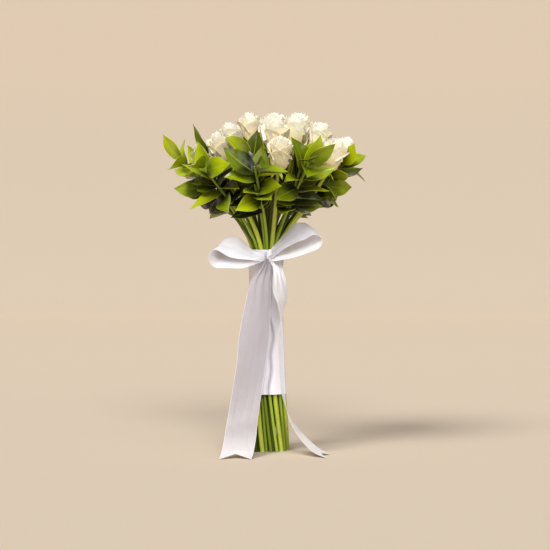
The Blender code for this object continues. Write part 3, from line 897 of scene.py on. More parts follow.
@dataclass(frozen=True)
class Whorl:
    """One layer of petals round a bloom, in millimetres."""

    petals: int
    rim_radius: float
    rim_height: float
    flare: float
    lift: float
    lap: float
    turn: float
    waist: float
    roll: float
    corner: float
    low: float = 0.0
    spread: float = 1.42
    foot: float = 2.4
    roll_change: float = 0.35
    tall_change: float = 0.030
    slope: float = 1.6
    # The size of a wave, and how many radians it runs through from a petal's middle to its edge.
    side_wave: Span = (0.80, 4.6)
    rim_wave: Span = (0.90, 5.9)

    def surface(self, petal: int, ripple: float) -> Surface:
        """The surface of one petal.

        Args:
            petal: Which petal of the whorl.
            ripple: Sets this petal's waves apart from the next one's.

        Returns:
            A function from places across and along the petal to a point, in millimetres.
        """
        roll = self.roll * (1 + self.roll_change * math.sin(5 * ripple))
        taller = 1 + self.tall_change * math.sin(3 * ripple)
        side_size, side_rate = self.side_wave
        rim_size, rim_rate = self.rim_wave

        def point(across: float, along: float) -> Vector:
            """The petal's point at a place across and along it.

            Args:
                across: From -1 at one edge to 1 at the other.
                along: From 0 at its start to 1 at its end.

            Returns:
                The point, in millimetres.
            """
            tall = self.low + (1 - self.low) * along
            belly = math.sin(min(1.0, tall * 2.3) * math.pi / 2) ** 0.8
            narrow = 0.50 + 0.50 * smoothstep(0.0, 0.45, tall)
            bulge = math.cos(across * math.pi / 2)
            angle = math.tau * (petal + 0.5 + 0.5 * across * self.spread * narrow) / self.petals + self.turn
            top = smoothstep(0.74, 1.0, tall)
            rim = self.rim_height + self.lift * (1 - abs(across) ** 1.25) - self.corner * abs(across) ** 3.2
            radius = self.foot + (self.waist - self.foot) * belly
            radius += (self.rim_radius - self.waist) * smoothstep(0.30, 1.0, tall)
            radius += self.flare * bulge * tall**2.2
            radius += self.lap * self.slope * across * smoothstep(0.05, 0.4, tall)
            radius += roll * top * top * (0.75 + 0.45 * abs(across) ** 1.5)
            radius += side_size * math.sin(side_rate * across + ripple) * tall**3
            height = rim * taller * (tall**1.12) - roll * 0.85 * top**3 * (0.4 + 0.9 * across * across)
            height += rim_size * math.sin(rim_rate * across + 2.1 * ripple) * top
            return Vector((radius * math.cos(angle), radius * math.sin(angle), height))

        return point


@dataclass
class Bloom:
    """One half-open rose: whorls of loose petals round a tight heart."""

    stem: Stem
    name: str
    openness: float
    turn: float
    columns: int = 10
    rows: int = 13
    wall: float = 0.00030
    seat_gap: float = 0.0003
    open_span: Span = (0.2, 1.0)

    def whorls(self) -> list[Whorl]:
        """The layers from the outside in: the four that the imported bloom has, and finer ones between them.

        Returns:
            The layers, the outer ones flared more on a more open bloom.
        """
        wide, turn = self.openness, self.turn
        return [
            Whorl(4, 13.6 + 1.4 * wide, 39.5, 1.4 + 1.6 * wide, 5.5, 0.9, turn, 13.8, 3.0 + 2.0 * wide, 10.0),
            Whorl(4, 12.2 + 0.8 * wide, 44.0, 1.2 + wide, 5.2, 0.8, turn + 0.8, 12.6, 2.6 + 1.4 * wide, 9.5),
            Whorl(4, 9.8, 47.6, 1.0, 4.8, 0.7, turn + 1.5, 10.8, 2.0, 8.5, low=0.2),
            Whorl(4, 7.0, 50.8, 0.8, 3.6, 0.6, turn + 2.3, 8.6, 1.3, 6.5, low=0.3),
            Whorl(3, 4.4, 52.8, 0.4, 2.2, 0.6, turn + 2.9, 6.2, 0.5, 4.5, low=0.5),
            Whorl(3, 2.1, 53.4, 0.1, 1.0, 0.5, turn + 3.9, 3.4, 0.0, 2.5, low=0.6),
        ]

    def build(self, finish: bpy.types.Material) -> bpy.types.Object:
        """Makes the bloom.

        Args:
            finish: The petals' material.

        Returns:
            The bloom's object.
        """
        draw = random.Random(self.name)
        mould = Mould(self.name.replace("rose_bloom", "rose_petals"))
        seat = self.stem.seat(self.seat_gap) @ Matrix.Diagonal((MM, MM, MM, 1))
        whorls = self.whorls()
        for layer, whorl in enumerate(whorls):
            depth = smoothstep(1, len(whorls) - 2, layer)
            for petal in range(whorl.petals):
                shape = whorl.surface(petal, draw.uniform(0, math.tau))

                def placed(across: float, along: float, shape: Surface = shape) -> Vector:
                    """The petal's point on its stem, in metres."""
                    return seat @ shape(across, along)

                mould.sheet(self.columns, self.rows, placed, draw.random(), depth, self.wall)
        return mould.cast(finish, Slot.PETAL, self.name)


@dataclass
class RoseStem:
    """A rose's stem with its leaf scars, its swollen hip, and five sepals bent back under the bloom."""

    stem: Stem
    sides: int = 12
    stations: int = 44
    inner_within: float = 0.02
    inner_shade_tones: Span = (0.0, 0.3)
    outer_tones: Span = (0.35, 1.0)
    scars: int = 4
    scar_span: Span = (0.02, 0.42)
    scar_bump: float = 0.10
    scar_half: float = 0.004
    hip: float = 0.0046
    # The radius and the height below the head of each ring, from the neck up to the seat.
    hip_rows: tuple[Span, ...] = ((0.0027, -0.0100), (0.0033, -0.0072), (0.0046, -0.0030), (0.0042, 0.0))
    sepals: int = 5
    sepal_root: float = 0.8
    sepal_reach: float = 0.0154
    sepal_top: float = 0.0016
    sepal_drop: float = 0.0098
    sepal_half: float = 0.0026
    sepal_cup: float = 0.0006
    sepal_wall: float = 0.0005

    def swell(self, draw: random.Random) -> Callable[[float], float]:
        """Draws the stem's leaf scars, each a low bump.

        Args:
            draw: Draws their heights.

        Returns:
            A function from a height to how much thicker the stem is there.
        """
        scars = [draw.uniform(*self.scar_span) for _ in range(self.scars)]

        def share(height: float) -> float:
            """The stem's thickness at a height, where 1 is that of a plain stem."""
            bumps = (math.exp(-(((height - scar) / self.scar_half) ** 2)) for scar in scars)
            return 1.0 + sum(self.scar_bump * bump for bump in bumps)

        return share

    def sepal(self, seat: Matrix, angle: float) -> Surface:
        """The surface of one sepal, bent out and down from the hip.

        Args:
            seat: The matrix at the stem's head.
            angle: Which way the sepal points, round the stem.

        Returns:
            A function from places across and along the sepal to a point.
        """
        root = self.hip * self.sepal_root

        def point(across: float, along: float) -> Vector:
            """The sepal's point at a place across and along it.

            Args:
                across: From -1 at one edge to 1 at the other.
                along: From 0 at its start to 1 at its end.

            Returns:
                The point, in metres.
            """
            reach = root + (self.sepal_reach - root) * along
            half = self.sepal_half * math.sin(math.pi * (0.18 + 0.82 * along)) ** 0.8
            drop = -self.sepal_top - (self.sepal_drop - self.sepal_top) * along**1.7
            side = across * half
            cup = self.sepal_cup * across * across
            x = reach * math.cos(angle) - side * math.sin(angle)
            y = reach * math.sin(angle) + side * math.cos(angle)
            return seat @ Vector((x, y, drop + cup))

        return point

    def build(self, finish: bpy.types.Material) -> bpy.types.Object:
        """Makes the stem, its hip and its sepals.

        Args:
            finish: The stem's material.

        Returns:
            The stem's object.
        """
        draw = random.Random(self.stem.name)
        inner = self.stem.ring.start_radius <= self.inner_within
        # Inner stems draw low tones, which their finish paints dark as the shade inside the bundle.
        tone = draw.uniform(*(self.inner_shade_tones if inner else self.outer_tones))
        mould = Mould(self.stem.name.replace("_stem", "_stalk"))
        neck_height = self.hip_rows[0][1]
        frames = self.stem.frames(self.stations, self.stem.head_height + 2 * neck_height, self.swell(draw))
        seat = self.stem.seat()
        for radius, height in self.hip_rows:
            frames.append(seat @ Matrix.Translation((0, 0, height)) @ Matrix.Diagonal((radius,) * 3 + (1,)))
        mould.tube(frames, self.sides, tone)
        for n in range(self.sepals):
            surface = self.sepal(seat, math.tau * n / self.sepals)
            mould.sheet(4, 8, surface, tone, blade=0.0, wall=self.sepal_wall)
        mould.stand()
        return mould.cast(finish, Slot.ROSE_STEM, self.stem.name)


@dataclass
class Leaf:
    """One ruscus leaf, from its root in the stem to its tip."""

    root: Vector
    along: Vector
    up: Vector
    length: float
    width: float
    arch: float
    outline: tuple[float, ...] = (0.09, 0.58, 0.88, 0.98, 0.90, 0.66, 0.32, 0.0)
    keel: float = 0.0013
    trough: float = 0.8
    least_arch: float = 1e-4
    # Each pair is what a leaf's own number is drawn between.
    waves: Span = (0.0006, 0.0018)
    cups: Span = (0.0, 0.0022)
    folds: Span = (0.08, 0.30)
    curls: Span = (-0.0040, 0.0050)
    leans: Span = (-0.0016, 0.0016)
    sways: Span = (-0.0016, 0.0016)
    wave_rate: float = 7.5
    wave_shift: float = 1.9

    def midrib(self, share: float) -> tuple[Vector, Vector]:
        """Follows the midrib.

        Args:
            share: How far along it, from 0 to 1.

        Returns:
            The midrib's point and the leaf's upward direction there.
        """
        angle = self.arch * share
        bend = self.arch if abs(self.arch) > self.least_arch else self.least_arch
        forward = math.sin(bend * share) / bend
        down = (1 - math.cos(bend * share)) / bend
        point = self.root + (self.along * forward - self.up * down) * self.length
        return point, (self.up * math.cos(angle) + self.along * math.sin(angle)).normalized()

    def surface(self, draw: random.Random) -> Surface:
        """The blade's upper face: cupped beside the midrib, waved at its margins and pointed.

        Args:
            draw: Draws this leaf's waves.

        Returns:
            A function from places across and along the blade to a point.
        """
        side = self.up.cross(self.along).normalized()
        turns = (0, math.tau)
        spans = (self.waves, turns, self.cups, self.folds, self.curls, self.leans, self.sways)
        wave, phase, cup, fold, curl, lean, sway = (draw.uniform(*span) for span in spans)

        def point(across: float, along: float) -> Vector:
            """The blade's point at a place across and along it.

            Args:
                across: From -1 at one edge to 1 at the other.
                along: From 0 at its start to 1 at its end.

            Returns:
                The point, in metres.
            """
            middle, up = self.midrib(along)
            half = self.width / 2 * max(0.0, through(self.outline, along))
            shift = self.wave_shift if across > 0 else 0.0
            lift = -self.keel * self.trough * (1 - abs(across)) ** 2 + cup * across * across
            lift += wave * math.sin(self.wave_rate * along + phase + shift) * across * across
            lift += lean * across + fold * half * abs(across)
            bulk = math.sin(math.pi * min(1.0, along * 1.02))
            middle = middle - up * (curl * along**3)
            middle = middle + side * sway * bulk
            return middle + side * (half * across) + up * (lift * bulk)

        return point


@dataclass
class LeafRule:
    """How a spray's leaves are drawn, one try at a time, each from its own seed."""

    length: float = 0.060
    width: float = 0.033
    trials: int = 90
    shrink: float = 0.20
    span: Span = (0.48, 1.00)
    top_yaw: Span = (-0.8, 0.8)
    top_pitch: Span = (0, 60)
    yaw: Span = (0.3, 1.65)
    # Up to each share of the way along the stem's leaves, the lowest and the highest pitch in degrees.
    pitch: tuple[tuple[float, float, float], ...] = ((0.25, 0, 60), (0.50, -20, 60), (1.00, 0, 85))
    facing: Span = (0.75, 0.65)
    lean: Span = (-0.5, 0.5)
    roll: Span = (-0.6, 0.6)
    size_spread: Span = (0.86, 1.10)
    width_spread: Span = (0.85, 1.12)
    arch: Span = (-0.15, 0.75)
    seed: int = 1184
    stem_stride: int = 7919
    place_stride: int = 613
    tip_within: float = 0.05 * MM

    def drawn(self, stem: Stem, number: int, place: int, trial: int) -> Leaf:
        """One try at a leaf.

        Args:
            stem: The stem that it grows from.
            number: The stem's number among the sprays.
            place: The leaf's place on the stem, from the lowest up.
            trial: Which try this is.

        Returns:
            The leaf.
        """
        draw = random.Random(self.seed + self.stem_stride * number + self.place_stride * place + trial)
        last = place == stem.ring.leaves - 1
        climb = place / (stem.ring.leaves - 1)
        low, high = self.span
        root = stem.point(TIE_HEIGHT + stem.rise() * (low + (high - low) * climb))
        outward = Vector((root.x, root.y, 0)).normalized()
        sideways = Vector((-outward.y, outward.x, 0))
        if last:
            yaw, pitch = draw.uniform(*self.top_yaw), math.radians(draw.uniform(*self.top_pitch))
        else:
            yaw = (1 if place % 2 else -1) * draw.uniform(*self.yaw)
            _, lowest, highest = next(row for row in self.pitch if climb < row[0])
            pitch = math.radians(draw.uniform(lowest, highest))
        flat = outward * math.cos(yaw) + sideways * math.sin(yaw)
        along = (flat * math.cos(pitch) + UP * math.sin(pitch)).normalized()
        lean = outward * self.facing[0] + UP * self.facing[1] + sideways * draw.uniform(*self.lean)
        up = (lean - along * lean.dot(along)).normalized()
        up.rotate(Matrix.Rotation(draw.uniform(*self.roll), 3, along))
        size = draw.uniform(*self.size_spread) * (1 - self.shrink * trial / self.trials)
        return Leaf(
            root=root,
            along=along,
            up=up,
            length=self.length * size,
            width=self.width * size * draw.uniform(*self.width_spread),
            arch=draw.uniform(*self.arch),
        )

    def kept(self, stem: Stem, number: int) -> list[Leaf]:
        """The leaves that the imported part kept: each one's tip is a corner of the stem's node.

        Args:
            stem: The stem that bears them.
            number: The stem's number among the sprays.

        Returns:
            The leaves, from the lowest up.
        """
        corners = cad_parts[stem.name].data.vertices
        tips = KDTree(len(corners))
        for n, corner in enumerate(corners):
            tips.insert(corner.co - BUNDLE_PLACE, n)
        tips.balance()
        leaves = []
        for place in range(stem.ring.leaves):
            for trial in range(self.trials):
                leaf = self.drawn(stem, number, place, trial)
                if tips.find(leaf.midrib(1.0)[0])[2] < self.tip_within:
                    leaves.append(leaf)
                    break
        return leaves


@dataclass
class RuscusSpray:
    """One ruscus stem with its glossy leaves."""

    stem: Stem
    number: int
    rule: LeafRule
    columns: int = 8
    rows: int = 13
    sides: int = 9
    stations: int = 40
    wall: float = 0.00045

    def build(self, finish: bpy.types.Material) -> bpy.types.Object:
        """Makes the stem and its leaves.

        Args:
            finish: The spray's material.

        Returns:
            The spray's object.
        """
        draw = random.Random(self.stem.name)
        mould = Mould(self.stem.name.replace("_stem", "_spray"))
        frames = self.stem.frames(self.stations, self.stem.head_height)
        mould.tube(frames, self.sides, draw.random())
        mould.stand()
        leaves = self.rule.kept(self.stem, self.number)
        for leaf in leaves:
            mould.sheet(self.columns, self.rows, leaf.surface(draw), draw.random(), wall=self.wall)
        log.info("%s bears %d leaves", self.stem.name, len(leaves))
        return mould.cast(finish, Slot.RUSCUS, self.stem.name)


@dataclass(frozen=True)
class Station:
    """A place along a ribbon: its middle, half its width, and the direction of its upper or right edge."""

    middle: Vector
    half: float
    edge: Vector


def stations(*rows: tuple[float, ...]) -> list[Station]:
    """Reads a ribbon's way from a table.

    Args:
        *rows: The middle's x, y and z and the half width, in millimetres, and the edge's direction.

    Returns:
        A station for each row.
    """
    made = []
    for x, y, z, half, *edge in rows:
        made.append(Station(Vector((x, y, z)) * MM, half * MM, Vector(edge).normalized()))
    return made


# Both loops run out along their upper layer and back to the knot along their lower one.
LEFT_LOOP = stations(
    (-2, -40, 313, 7, 0, 0.6, 0.8),
    (-19, -44, 314, 15, 0, 0.85, 0.50),
    (-39, -48, 323, 22, 0, 0.72, 0.70),
    (-56, -51, 327, 25, 0.05, 0.76, 0.64),
    (-70, -53, 331, 25, 0.30, 0.87, 0.38),
    (-78, -53, 326, 25, 0.33, 0.86, 0.36),
    (-80, -52, 315, 25, 0.33, 0.85, 0.38),
    (-73, -51, 307, 25, 0.25, 0.83, 0.48),
    (-57, -50, 309, 25, 0.08, 0.78, 0.62),
    (-38, -48, 308, 22, 0, 0.74, 0.67),
    (-20, -44, 308, 15, 0, 0.72, 0.70),
    (-2, -40, 310, 7, 0, 0.6, 0.8),
)
RIGHT_LOOP = stations(
    (6, -40, 313, 7, 0, 0.6, 0.8),
    (18, -44, 324, 14, -0.10, 0.85, 0.50),
    (34, -50, 339, 21, -0.20, 0.88, 0.38),
    (52, -56, 351, 25, -0.29, 0.83, 0.47),
    (66, -59, 356, 25, -0.31, 0.87, 0.38),
    (76, -60, 353, 25, -0.38, 0.84, 0.38),
    (78.5, -60, 344, 25, -0.39, 0.84, 0.38),
    (74, -58, 335, 25, -0.36, 0.85, 0.38),
    (62, -55, 328, 25, -0.28, 0.88, 0.36),
    (41, -50, 319, 23, -0.12, 0.90, 0.40),
    (21, -45, 313, 15, 0, 0.85, 0.50),
    (6, -40, 310, 7, 0, 0.6, 0.8),
)
LEFT_TAIL = stations(
    (4, -41, 308, 6, 1, 0, 0),
    (-1, -45, 292, 10, 1, 0.05, 0),
    (-8, -48, 273, 16, 1, 0.10, 0),
    (-12, -51, 241, 20, 0.98, 0.15, 0),
    (-18, -54, 188, 25, 0.96, 0.25, 0.05),
    (-22, -56, 149, 25, 0.94, 0.30, 0.08),
    (-30, -62, 97, 25, 0.93, 0.30, 0.10),
    (-37, -77, 53, 25, 0.95, 0.20, 0.10),
    (-40, -95, 29, 25, 0.98, 0.10, 0.05),
    (-44, -114, 9, 25, 1, 0.03, 0),
    (-47, -129, 0.6, 25, 1, 0, 0),
)
RIGHT_TAIL = stations(
    (8, -41, 308, 6, 0.9, 0.3, 0),
    (17, -45, 295, 9, 0.7, 0.65, 0),
    (21, -50, 275, 16, 0.6, 0.75, 0),
    (23, -55, 257, 22, 0.48, 0.86, 0),
    (26, -60, 240, 25, 0.28, 0.95, 0),
    (25, -62, 219, 25, 0.05, 1, 0),
    (24, -63, 188, 25, -0.10, 0.99, 0),
    (25, -64, 148, 25, -0.12, 0.99, 0),
    (27, -66, 103, 25, -0.10, 0.99, 0),
    (31, -67, 77, 25, -0.03, 1, 0),
    (40, -68, 53, 25, 0.05, 1, 0),
    (58, -71, 28, 25, 0.10, 1, 0.05),
    (79, -78, 9, 25, 0.12, 1, 0.04),
    (98, -87, 0.6, 25, 0.12, 1, 0),
)


@dataclass
class Ribbon:
    """One run of the bow's ribbon, gathered where it is narrow."""

    path: list[Station]
    rows: int
    phase: float
    tones: Span
    notch: float = 0.0
    columns: int = 20
    width: float = 0.050
    pleats: int = 3
    pleat: float = 0.0022
    gathered_at: float = 0.25
    cup: float = 0.0010
    flat_at: float = 0.4
    ripple: float = 0.0007
    ripple_rates: Span = (9, 2.2)
    settled_at: float = 0.012
    notch_from: float = 0.86
    step: float = 0.01

    def length(self) -> float:
        """How long the run is along its middle."""
        return sum((b.middle - a.middle).length for a, b in pairwise(self.path))

    def surface(self) -> Surface:
        """The ribbon's surface: pleated at the knot, nearly flat where it has its full width.

        Returns:
            A function from places across and along the ribbon to a point.
        """
        middles = [station.middle for station in self.path]
        halves = [station.half for station in self.path]
        edges = [station.edge for station in self.path]
        ripples_along, ripples_across = self.ripple_rates

        def point(across: float, along: float) -> Vector:
            """The ribbon's point at a place across and along it.

            Args:
                across: From -1 at one edge to 1 at the other.
                along: From 0 at its start to 1 at its end.

            Returns:
                The point, in metres.
            """
            middle, half = through(middles, along), through(halves, along)
            edge = through(edges, along).normalized()
            ahead = through(middles, min(1.0, along + self.step))
            ahead = ahead - through(middles, max(0.0, along - self.step))
            forward = (ahead - edge * ahead.dot(edge)).normalized()
            face = edge.cross(forward)
            gather = 1 - smoothstep(self.gathered_at, 1.0, half / (self.width / 2))
            waves = ripples_along * along + ripples_across * across + self.phase
            lift = self.pleat * gather * math.cos(self.pleats * math.pi * across + self.phase)
            lift += self.cup * (across * across - self.flat_at) * (1 - gather)
            lift += self.ripple * math.sin(waves) * (1 - gather)
            settled = smoothstep(0.0, self.settled_at, middle.z)
            cut = forward * (self.notch * (1 - abs(across)) * smoothstep(self.notch_from, 1.0, along))
            return middle + edge * (half * across) + face * (lift * settled) - cut

        return point


@dataclass
class Dressing:
    """The satin round the handle: the sleeve, and the bow with its band and knot."""

    bundle: Bundle
    gap: float = 0.0003
    tie_wall: float = 0.0010
    sleeve_wall: float = 0.0008
    sleeve_low: float = 0.092
    sleeve_high: float = 0.322
    tie_cover: Span = (0.275, 0.292)
    girth_height: float = 0.2
    band_low: float = 0.298
    band_high: float = 0.319
    band_wall: float = 0.0010
    seam_angle: float = -1.30
    notch: float = 0.015
    knot_x: float = 0.007
    knot_height: float = 0.3115
    knot_size: tuple[float, float, float] = (0.012, 0.015, 0.023)
    cloth: float = 0.00035
    sides: int = 180
    doubles_within: float = 0.01 * MM
    # The size of a wave, how fast it turns with the height, and where it starts.
    seam_waves: tuple[tuple[float, float, float], ...] = ((0.09, 44, 0.0), (0.06, 103, 1.0))
    sleeve_lie: float = 0.4
    # The size of a fold, how often it comes round the handle, and how fast it turns with the height.
    sleeve_folds: tuple[tuple[float, float, float], ...] = ((0.5, 7, 18), (0.35, 11, -31))
    fold_size: float = 0.00045
    gathered_from: Span = (0.20, 0.30)
    # How much the hem stands out, and over what height.
    hem: Span = (0.0004, 0.006)
    flap_size: float = 0.0013
    flap_rise: Span = (0.0, 0.035)
    flap_fall: Span = (0.10, 1.3)
    # How much darker the seam's line of painted shade is, and over what angle.
    seam_line: Span = (0.70, 0.085)
    seam_shadow: float = 0.25
    band_pleats: int = 3
    band_tone: float = 0.9
    # The part of a turn that the band counts in the ribbon's length, and the length in the knot.
    band_turn: float = 0.5
    knot_run: float = 0.05
    knot_tone: float = 0.95
    # The size of the knot's pleats, how many there are, and how much they lean.
    knot_pleat: tuple[float, float, float] = (0.075, 9, 1.4)

    def inside(self, height: float) -> float:
        """The sleeve's inside radius at a height."""
        stems = self.bundle.radius(min(height, TIE_HEIGHT)) + self.gap
        return stems + (self.tie_wall + self.gap) * smoothstep(*self.tie_cover, height)

    def wrapped(
        self, mould: Mould, low: float, high: float, radius: Reading, rows: int, tone: Reading
    ) -> None:
        """Adds a cloth wrapped round the handle.

        Args:
            mould: Where it is added.
            low: The height of its lower hem.
            high: The height of its upper hem.
            radius: Gives its radius at an angle and a height.
            rows: Quads from hem to hem.
            tone: Gives its tone at an angle and a height.
        """

        def place(across: float, along: float) -> Span:
            """The angle and the height at a place across and along the cloth."""
            return math.pi * (across + 0.5), low + (high - low) * along

        def surface(across: float, along: float) -> Vector:
            """The cloth's point at a place across and along it.

            Args:
                across: From -1 at one edge to 1 at the other.
                along: From 0 at its start to 1 at its end.

            Returns:
                The point, in metres.
            """
            angle, height = place(across, along)
            reach = radius(angle, height)
            return Vector((reach * math.cos(angle), reach * math.sin(angle), height))

        verts = mould.sheet(self.sides, rows, surface)
        for vert in verts:
            vert[mould.tone] = tone(*place(vert[mould.across], vert[mould.along]))
        bmesh.ops.remove_doubles(mould.mesh, verts=verts, dist=self.doubles_within)
        mould.thicken([vert for vert in verts if vert.is_valid], self.cloth)

    def past_seam(self, angle: float, height: float) -> float:
        """How far an angle is past the sleeve's wavering seam.

        Args:
            angle: The angle round the handle.
            height: The height, in metres.

        Returns:
            An angle from -pi to pi.
        """
        waves = (size * math.sin(rate * height + phase) for size, rate, phase in self.seam_waves)
        seam = sum(waves) + self.seam_angle
        return (angle - seam + math.pi) % math.tau - math.pi

    def build_sleeve(self, finish: bpy.types.Material) -> bpy.types.Object:
        """Makes the sleeve, with soft lengthwise folds drawn in under the band.

        Args:
            finish: The satin.

        Returns:
            The sleeve's object.
        """

        def radius(angle: float, height: float) -> float:
            """The sleeve's radius: thicker at its folds, its lower hem and the flap past its seam.

            Args:
                angle: The angle round the handle.
                height: The height, in metres.

            Returns:
                The radius.
            """
            reach = self.inside(height) + self.sleeve_wall * self.sleeve_lie
            folds = (size * math.sin(n * angle + rate * height) for size, n, rate in self.sleeve_folds)
            fold = sum(folds, start=0.5)
            gather = smoothstep(*self.gathered_from, height)
            hem_size, hem_height = self.hem
            hem = 1 - smoothstep(0.0, hem_height, height - self.sleeve_low)
            past = self.past_seam(angle, height)
            flap = smoothstep(*self.flap_rise, past) * (1 - smoothstep(*self.flap_fall, past))
            return reach + self.fold_size * fold * (0.5 + gather) + hem_size * hem + self.flap_size * flap

        def tone(angle: float, height: float) -> float:
            """The sleeve's tone: painted shade along its seam, and a painted shadow a little before it.

            Args:
                angle: The angle round the handle.
                height: The height, in metres.

            Returns:
                The tone.
            """
            past = self.past_seam(angle, height)
            line_share, line_half = self.seam_line
            line = math.exp(-((past / line_half) ** 2))
            under = smoothstep(-0.45, -0.05, past) * (1 - smoothstep(-0.05, 0.02, past))
            return 1.0 - line_share * line - self.seam_shadow * under

        mould = Mould("satin_wrap")
        self.wrapped(mould, self.sleeve_low, self.sleeve_high, radius, 64, tone)
        piece = mould.cast(finish, Slot.SATIN, "satin_sleeve")
        girth = math.tau * self.inside(self.girth_height)
        return piece

    def knot(self, mould: Mould, band_middle: float) -> None:
        """Adds the knot: a pinched roll of pleated ribbon.

        Args:
            mould: Where it is added.
            band_middle: The radius of the middle of the band's cloth.
        """
        pleat_size, pleats, lean = self.knot_pleat
        size = Vector(self.knot_size) / 2
        back = -math.sqrt(band_middle**2 - self.knot_x**2)
        centre = Vector((self.knot_x, back - self.knot_size[1] / 2, self.knot_height))
        ball = bmesh.ops.create_uvsphere(mould.mesh, u_segments=40, v_segments=20, radius=1.0)["verts"]
        for vert in ball:
            angle, tall = math.atan2(vert.co.y, vert.co.x), vert.co.z
            pleat = 1 + pleat_size * math.sin(pleats * angle + lean * tall) * (1 - tall * tall)
            flat = (1 - abs(tall) ** 3.2) ** 0.35 if abs(tall) < 1 else 0.0
            level = math.hypot(vert.co.x, vert.co.y) or 1.0
            wide = flat / level * pleat * (0.86 + 0.10 * math.cos(2.2 * tall))
            mould.mark(vert, angle / math.pi * 0.9, tall * 0.5 + 0.5, self.knot_tone, 1.0)
            vert.co = centre + Vector((vert.co.x * wide * size.x, vert.co.y * wide * size.y, tall * size.z))

    def build_bow(self, finish: bpy.types.Material) -> bpy.types.Object:
        """Makes the band, the knot, both loops and both tails of one ribbon.

        Args:
            finish: The satin.

        Returns:
            The bow's object.
        """
        band_inside = self.inside(self.knot_height) + self.sleeve_wall + self.gap

        def band(angle: float, height: float) -> float:
            """The band's radius, with its pleats round the handle.

            Args:
                angle: The angle round the handle.
                height: The height, in metres.

            Returns:
                The radius.
            """
            share = (height - self.band_low) / (self.band_high - self.band_low)
            waves = math.tau * self.band_pleats * share + 0.5 * math.sin(3 * angle)
            pleats = 0.5 + 0.5 * math.cos(waves)
            return band_inside + self.band_wall * (0.35 + 0.55 * pleats)

        mould = Mould("satin_ribbon")
        self.wrapped(mould, self.band_low, self.band_high, band, 18, lambda angle, height: self.band_tone)
        # Each run's tones, for its face and its lining, paint how lit it looks: the left tail and the loops'
        # linings are painted into shade.
        runs = (
            Ribbon(LEFT_LOOP, 72, 0.4, (1.0, 0.70)),
            Ribbon(RIGHT_LOOP, 72, 1.3, (0.95, 0.40)),
            Ribbon(LEFT_TAIL, 110, 2.1, (0.04, 0.04), self.notch),
            Ribbon(RIGHT_TAIL, 120, 0.9, (0.85, 0.85), self.notch),
        )
        for run in runs:
            face, lining = run.tones
            mould.sheet(run.columns, run.rows, run.surface(), face, wall=self.cloth, lining=lining)
        self.knot(mould, band_inside + self.band_wall / 2)
        piece = mould.cast(finish, Slot.SATIN, "satin_bow")
        length = sum(run.length() for run in runs) + math.tau * band_inside * self.band_turn + self.knot_run
        return piece


@dataclass(frozen=True)
class Lamp:
    """A far soft light, as even as daylight from a large window."""

    name: str
    azimuth: float
    elevation: float
    strength: float
    softness: float
    colour: Colour

    def way(self) -> Vector:
        """The direction towards the light; azimuth 0 is the front, and to the right is positive."""
        turn, rise = math.radians(self.azimuth), math.radians(self.elevation)
        return Vector((math.sin(turn) * math.cos(rise), -math.cos(turn) * math.cos(rise), math.sin(rise)))

    def build(self) -> None:
        """Adds the light to the scene."""
        data = bpy.data.lights.new(self.name, "SUN")
        data.energy = self.strength
        data.angle = math.radians(self.softness)
        data.color = self.colour
        light = bpy.data.objects.new(self.name, data)
        light.rotation_euler = (-self.way()).to_track_quat("-Z", "Y").to_euler()
        bpy.context.scene.collection.objects.link(light)


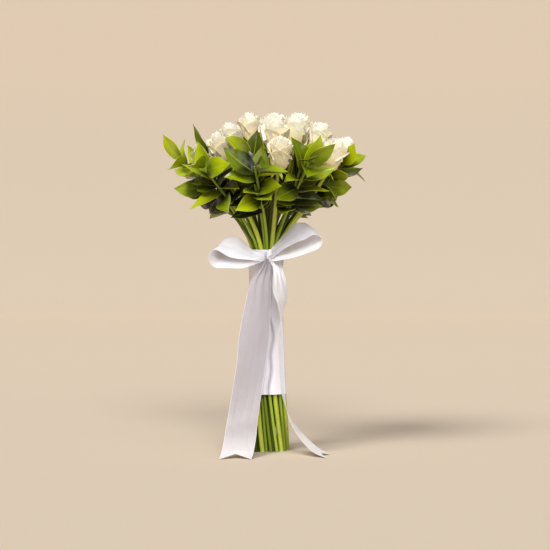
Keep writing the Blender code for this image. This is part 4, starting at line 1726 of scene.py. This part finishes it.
@dataclass
class Studio:
    """The plain floor and backdrop, the soft lights and the camera."""

    distance: float = 3.2
    camera_height: float = 0.3703
    aim: tuple[float, float, float] = (0.0144, 0.0, 0.281)
    frame_width: float = 0.880
    sensor: float = 36.0
    floor_front: float = 9.0
    floor_back: float = 4.5
    bend: float = 1.0
    wall: float = 3.0
    half_width: float = 9.0
    rows: int = 300
    even_light: float = 0.975
    bounce: float = 0.15
    corner: float = 0.09
    corner_reach: Span = (1.9, 0.35)
    sky_strength: float = 0.18
    sky_colour: Colour = (0.95, 0.95, 1.0)
    lamps: tuple[Lamp, ...] = (
        Lamp("left window", -34.0, 46.0, 2.5, 24.0, (1.0, 0.99, 0.96)),
        Lamp("front window", 4.0, 32.0, 2.1, 24.0, (1.0, 0.99, 0.98)),
        Lamp("fill", 30.0, 12.0, 0.5, 40.0, (0.98, 0.97, 1.0)),
    )

    def build_floor(self) -> None:
        """Makes the floor and the backdrop that curves up behind it, painted so that both look alike."""
        mesh = bmesh.new()
        paint = mesh.verts.layers.float.new("paint")
        bmesh.ops.create_grid(mesh, x_segments=1, y_segments=self.rows, size=1.0)
        flat = self.floor_front + self.floor_back
        for vert in mesh.verts:
            length = (vert.co.y + 1) / 2 * (flat + self.bend * math.pi / 2 + self.wall)
            turn = min(math.pi / 2, max(0.0, length - flat) / self.bend)
            climb = max(0.0, length - flat - self.bend * math.pi / 2)
            run = min(length, flat) - self.floor_front + self.bend * math.sin(turn)
            rise = self.bend * (1 - math.cos(turn)) + climb
            facing = Vector((0.0, -math.sin(turn), math.cos(turn)))
            vert.co = Vector((vert.co.x * self.half_width, run, rise))
            vert[paint] = self.even_light / self.light_on(facing, length - flat)
        data = bpy.data.meshes.new("studio_floor")
        mesh.to_mesh(data)
        mesh.free()
        data.shade_smooth()
        data.materials.append(StageFinish().material())
        floor = bpy.data.objects.new("studio_floor", data)
        bpy.context.scene.collection.objects.link(floor)

    def light_on(self, facing: Vector, past: float) -> float:
        """How much light falls on a part of the sweep.

        Args:
            facing: The way that it faces.
            past: How far it is past the place where the floor bends up into the wall.

        Returns:
            The light of the lamps and the sky, with what the floor and the wall throw on each other.
        """
        direct = sum(lamp.strength * max(0.0, lamp.way().dot(facing)) for lamp in self.lamps)
        reach = self.corner_reach[1 if past > 0 else 0]
        thrown = self.bounce * (1 - facing.z) + self.corner * math.exp(-((past / reach) ** 2))
        return direct / math.pi + self.sky_strength + thrown

    def build_lights(self) -> None:
        """Lights the bouquet softly from the upper left and the front, with a weak fill and an even sky."""
        for lamp in self.lamps:
            lamp.build()
        world = bpy.data.worlds.new("studio")
        world.use_nodes = True
        sky = world.node_tree.nodes["Background"]
        sky.inputs["Color"].default_value = (*self.sky_colour, 1.0)
        sky.inputs["Strength"].default_value = self.sky_strength
        bpy.context.scene.world = world

    def build_camera(self) -> None:
        """Sets the camera level with the bow, square to the front."""
        data = bpy.data.cameras.new("camera")
        data.sensor_width = self.sensor
        data.lens = self.sensor * self.distance / self.frame_width
        camera = bpy.data.objects.new("camera", data)
        aim = Vector(self.aim) + BUNDLE_PLACE
        camera.location = Vector((aim.x, aim.y - self.distance, self.camera_height))
        camera.rotation_euler = (aim - camera.location).to_track_quat("-Z", "Y").to_euler()
        bpy.context.scene.collection.objects.link(camera)
        bpy.context.scene.camera = camera

    def build(self) -> None:
        """Builds the whole studio."""
        self.build_camera()
        self.build_floor()
        self.build_lights()
        bpy.context.scene.view_settings.view_transform = "Standard"


RIBBON_SATIN = SatinFinish()
SLEEVE_SATIN = SatinFinish(
    name="sleeve satin",
    threads=120.0,
    painted_shade=(0.36, 0.34, 0.38),
    shade=(0.82, 0.80, 0.94),
    thinness=0.1,
)


def main() -> None:
    """Builds the bouquet, piece by piece."""
    logging.basicConfig(level=logging.INFO, format="%(message)s")
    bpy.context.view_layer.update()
    Studio().build()
    bundle = Bundle()
    bundle.plan()
    bundle.pack()

    petals, stalks, leaves = PetalFinish().material(), RoseStemFinish().material(), RuscusFinish().material()
    draw = random.Random(bundle.seed + 1)
    for number, stem in enumerate(bundle.of_kind(Kind.ROSE), start=1):
        openness = draw.uniform(*Bloom.open_span)
        turn = draw.uniform(0, math.tau)
        Bloom(stem, f"rose_bloom_{number:02d}", openness, turn).build(petals)
        RoseStem(stem).build(stalks)
    rule = LeafRule()
    for number, stem in enumerate(bundle.of_kind(Kind.RUSCUS)):
        RuscusSpray(stem, number, rule).build(leaves)

    dressing = Dressing(bundle)
    dressing.build_sleeve(SLEEVE_SATIN.material())
    dressing.build_bow(RIBBON_SATIN.material())
    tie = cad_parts["binding_tie"]
    tie.data.materials.clear()
    tie.data.materials.append(TapeFinish().material())


if __name__ == "__main__":
    main()
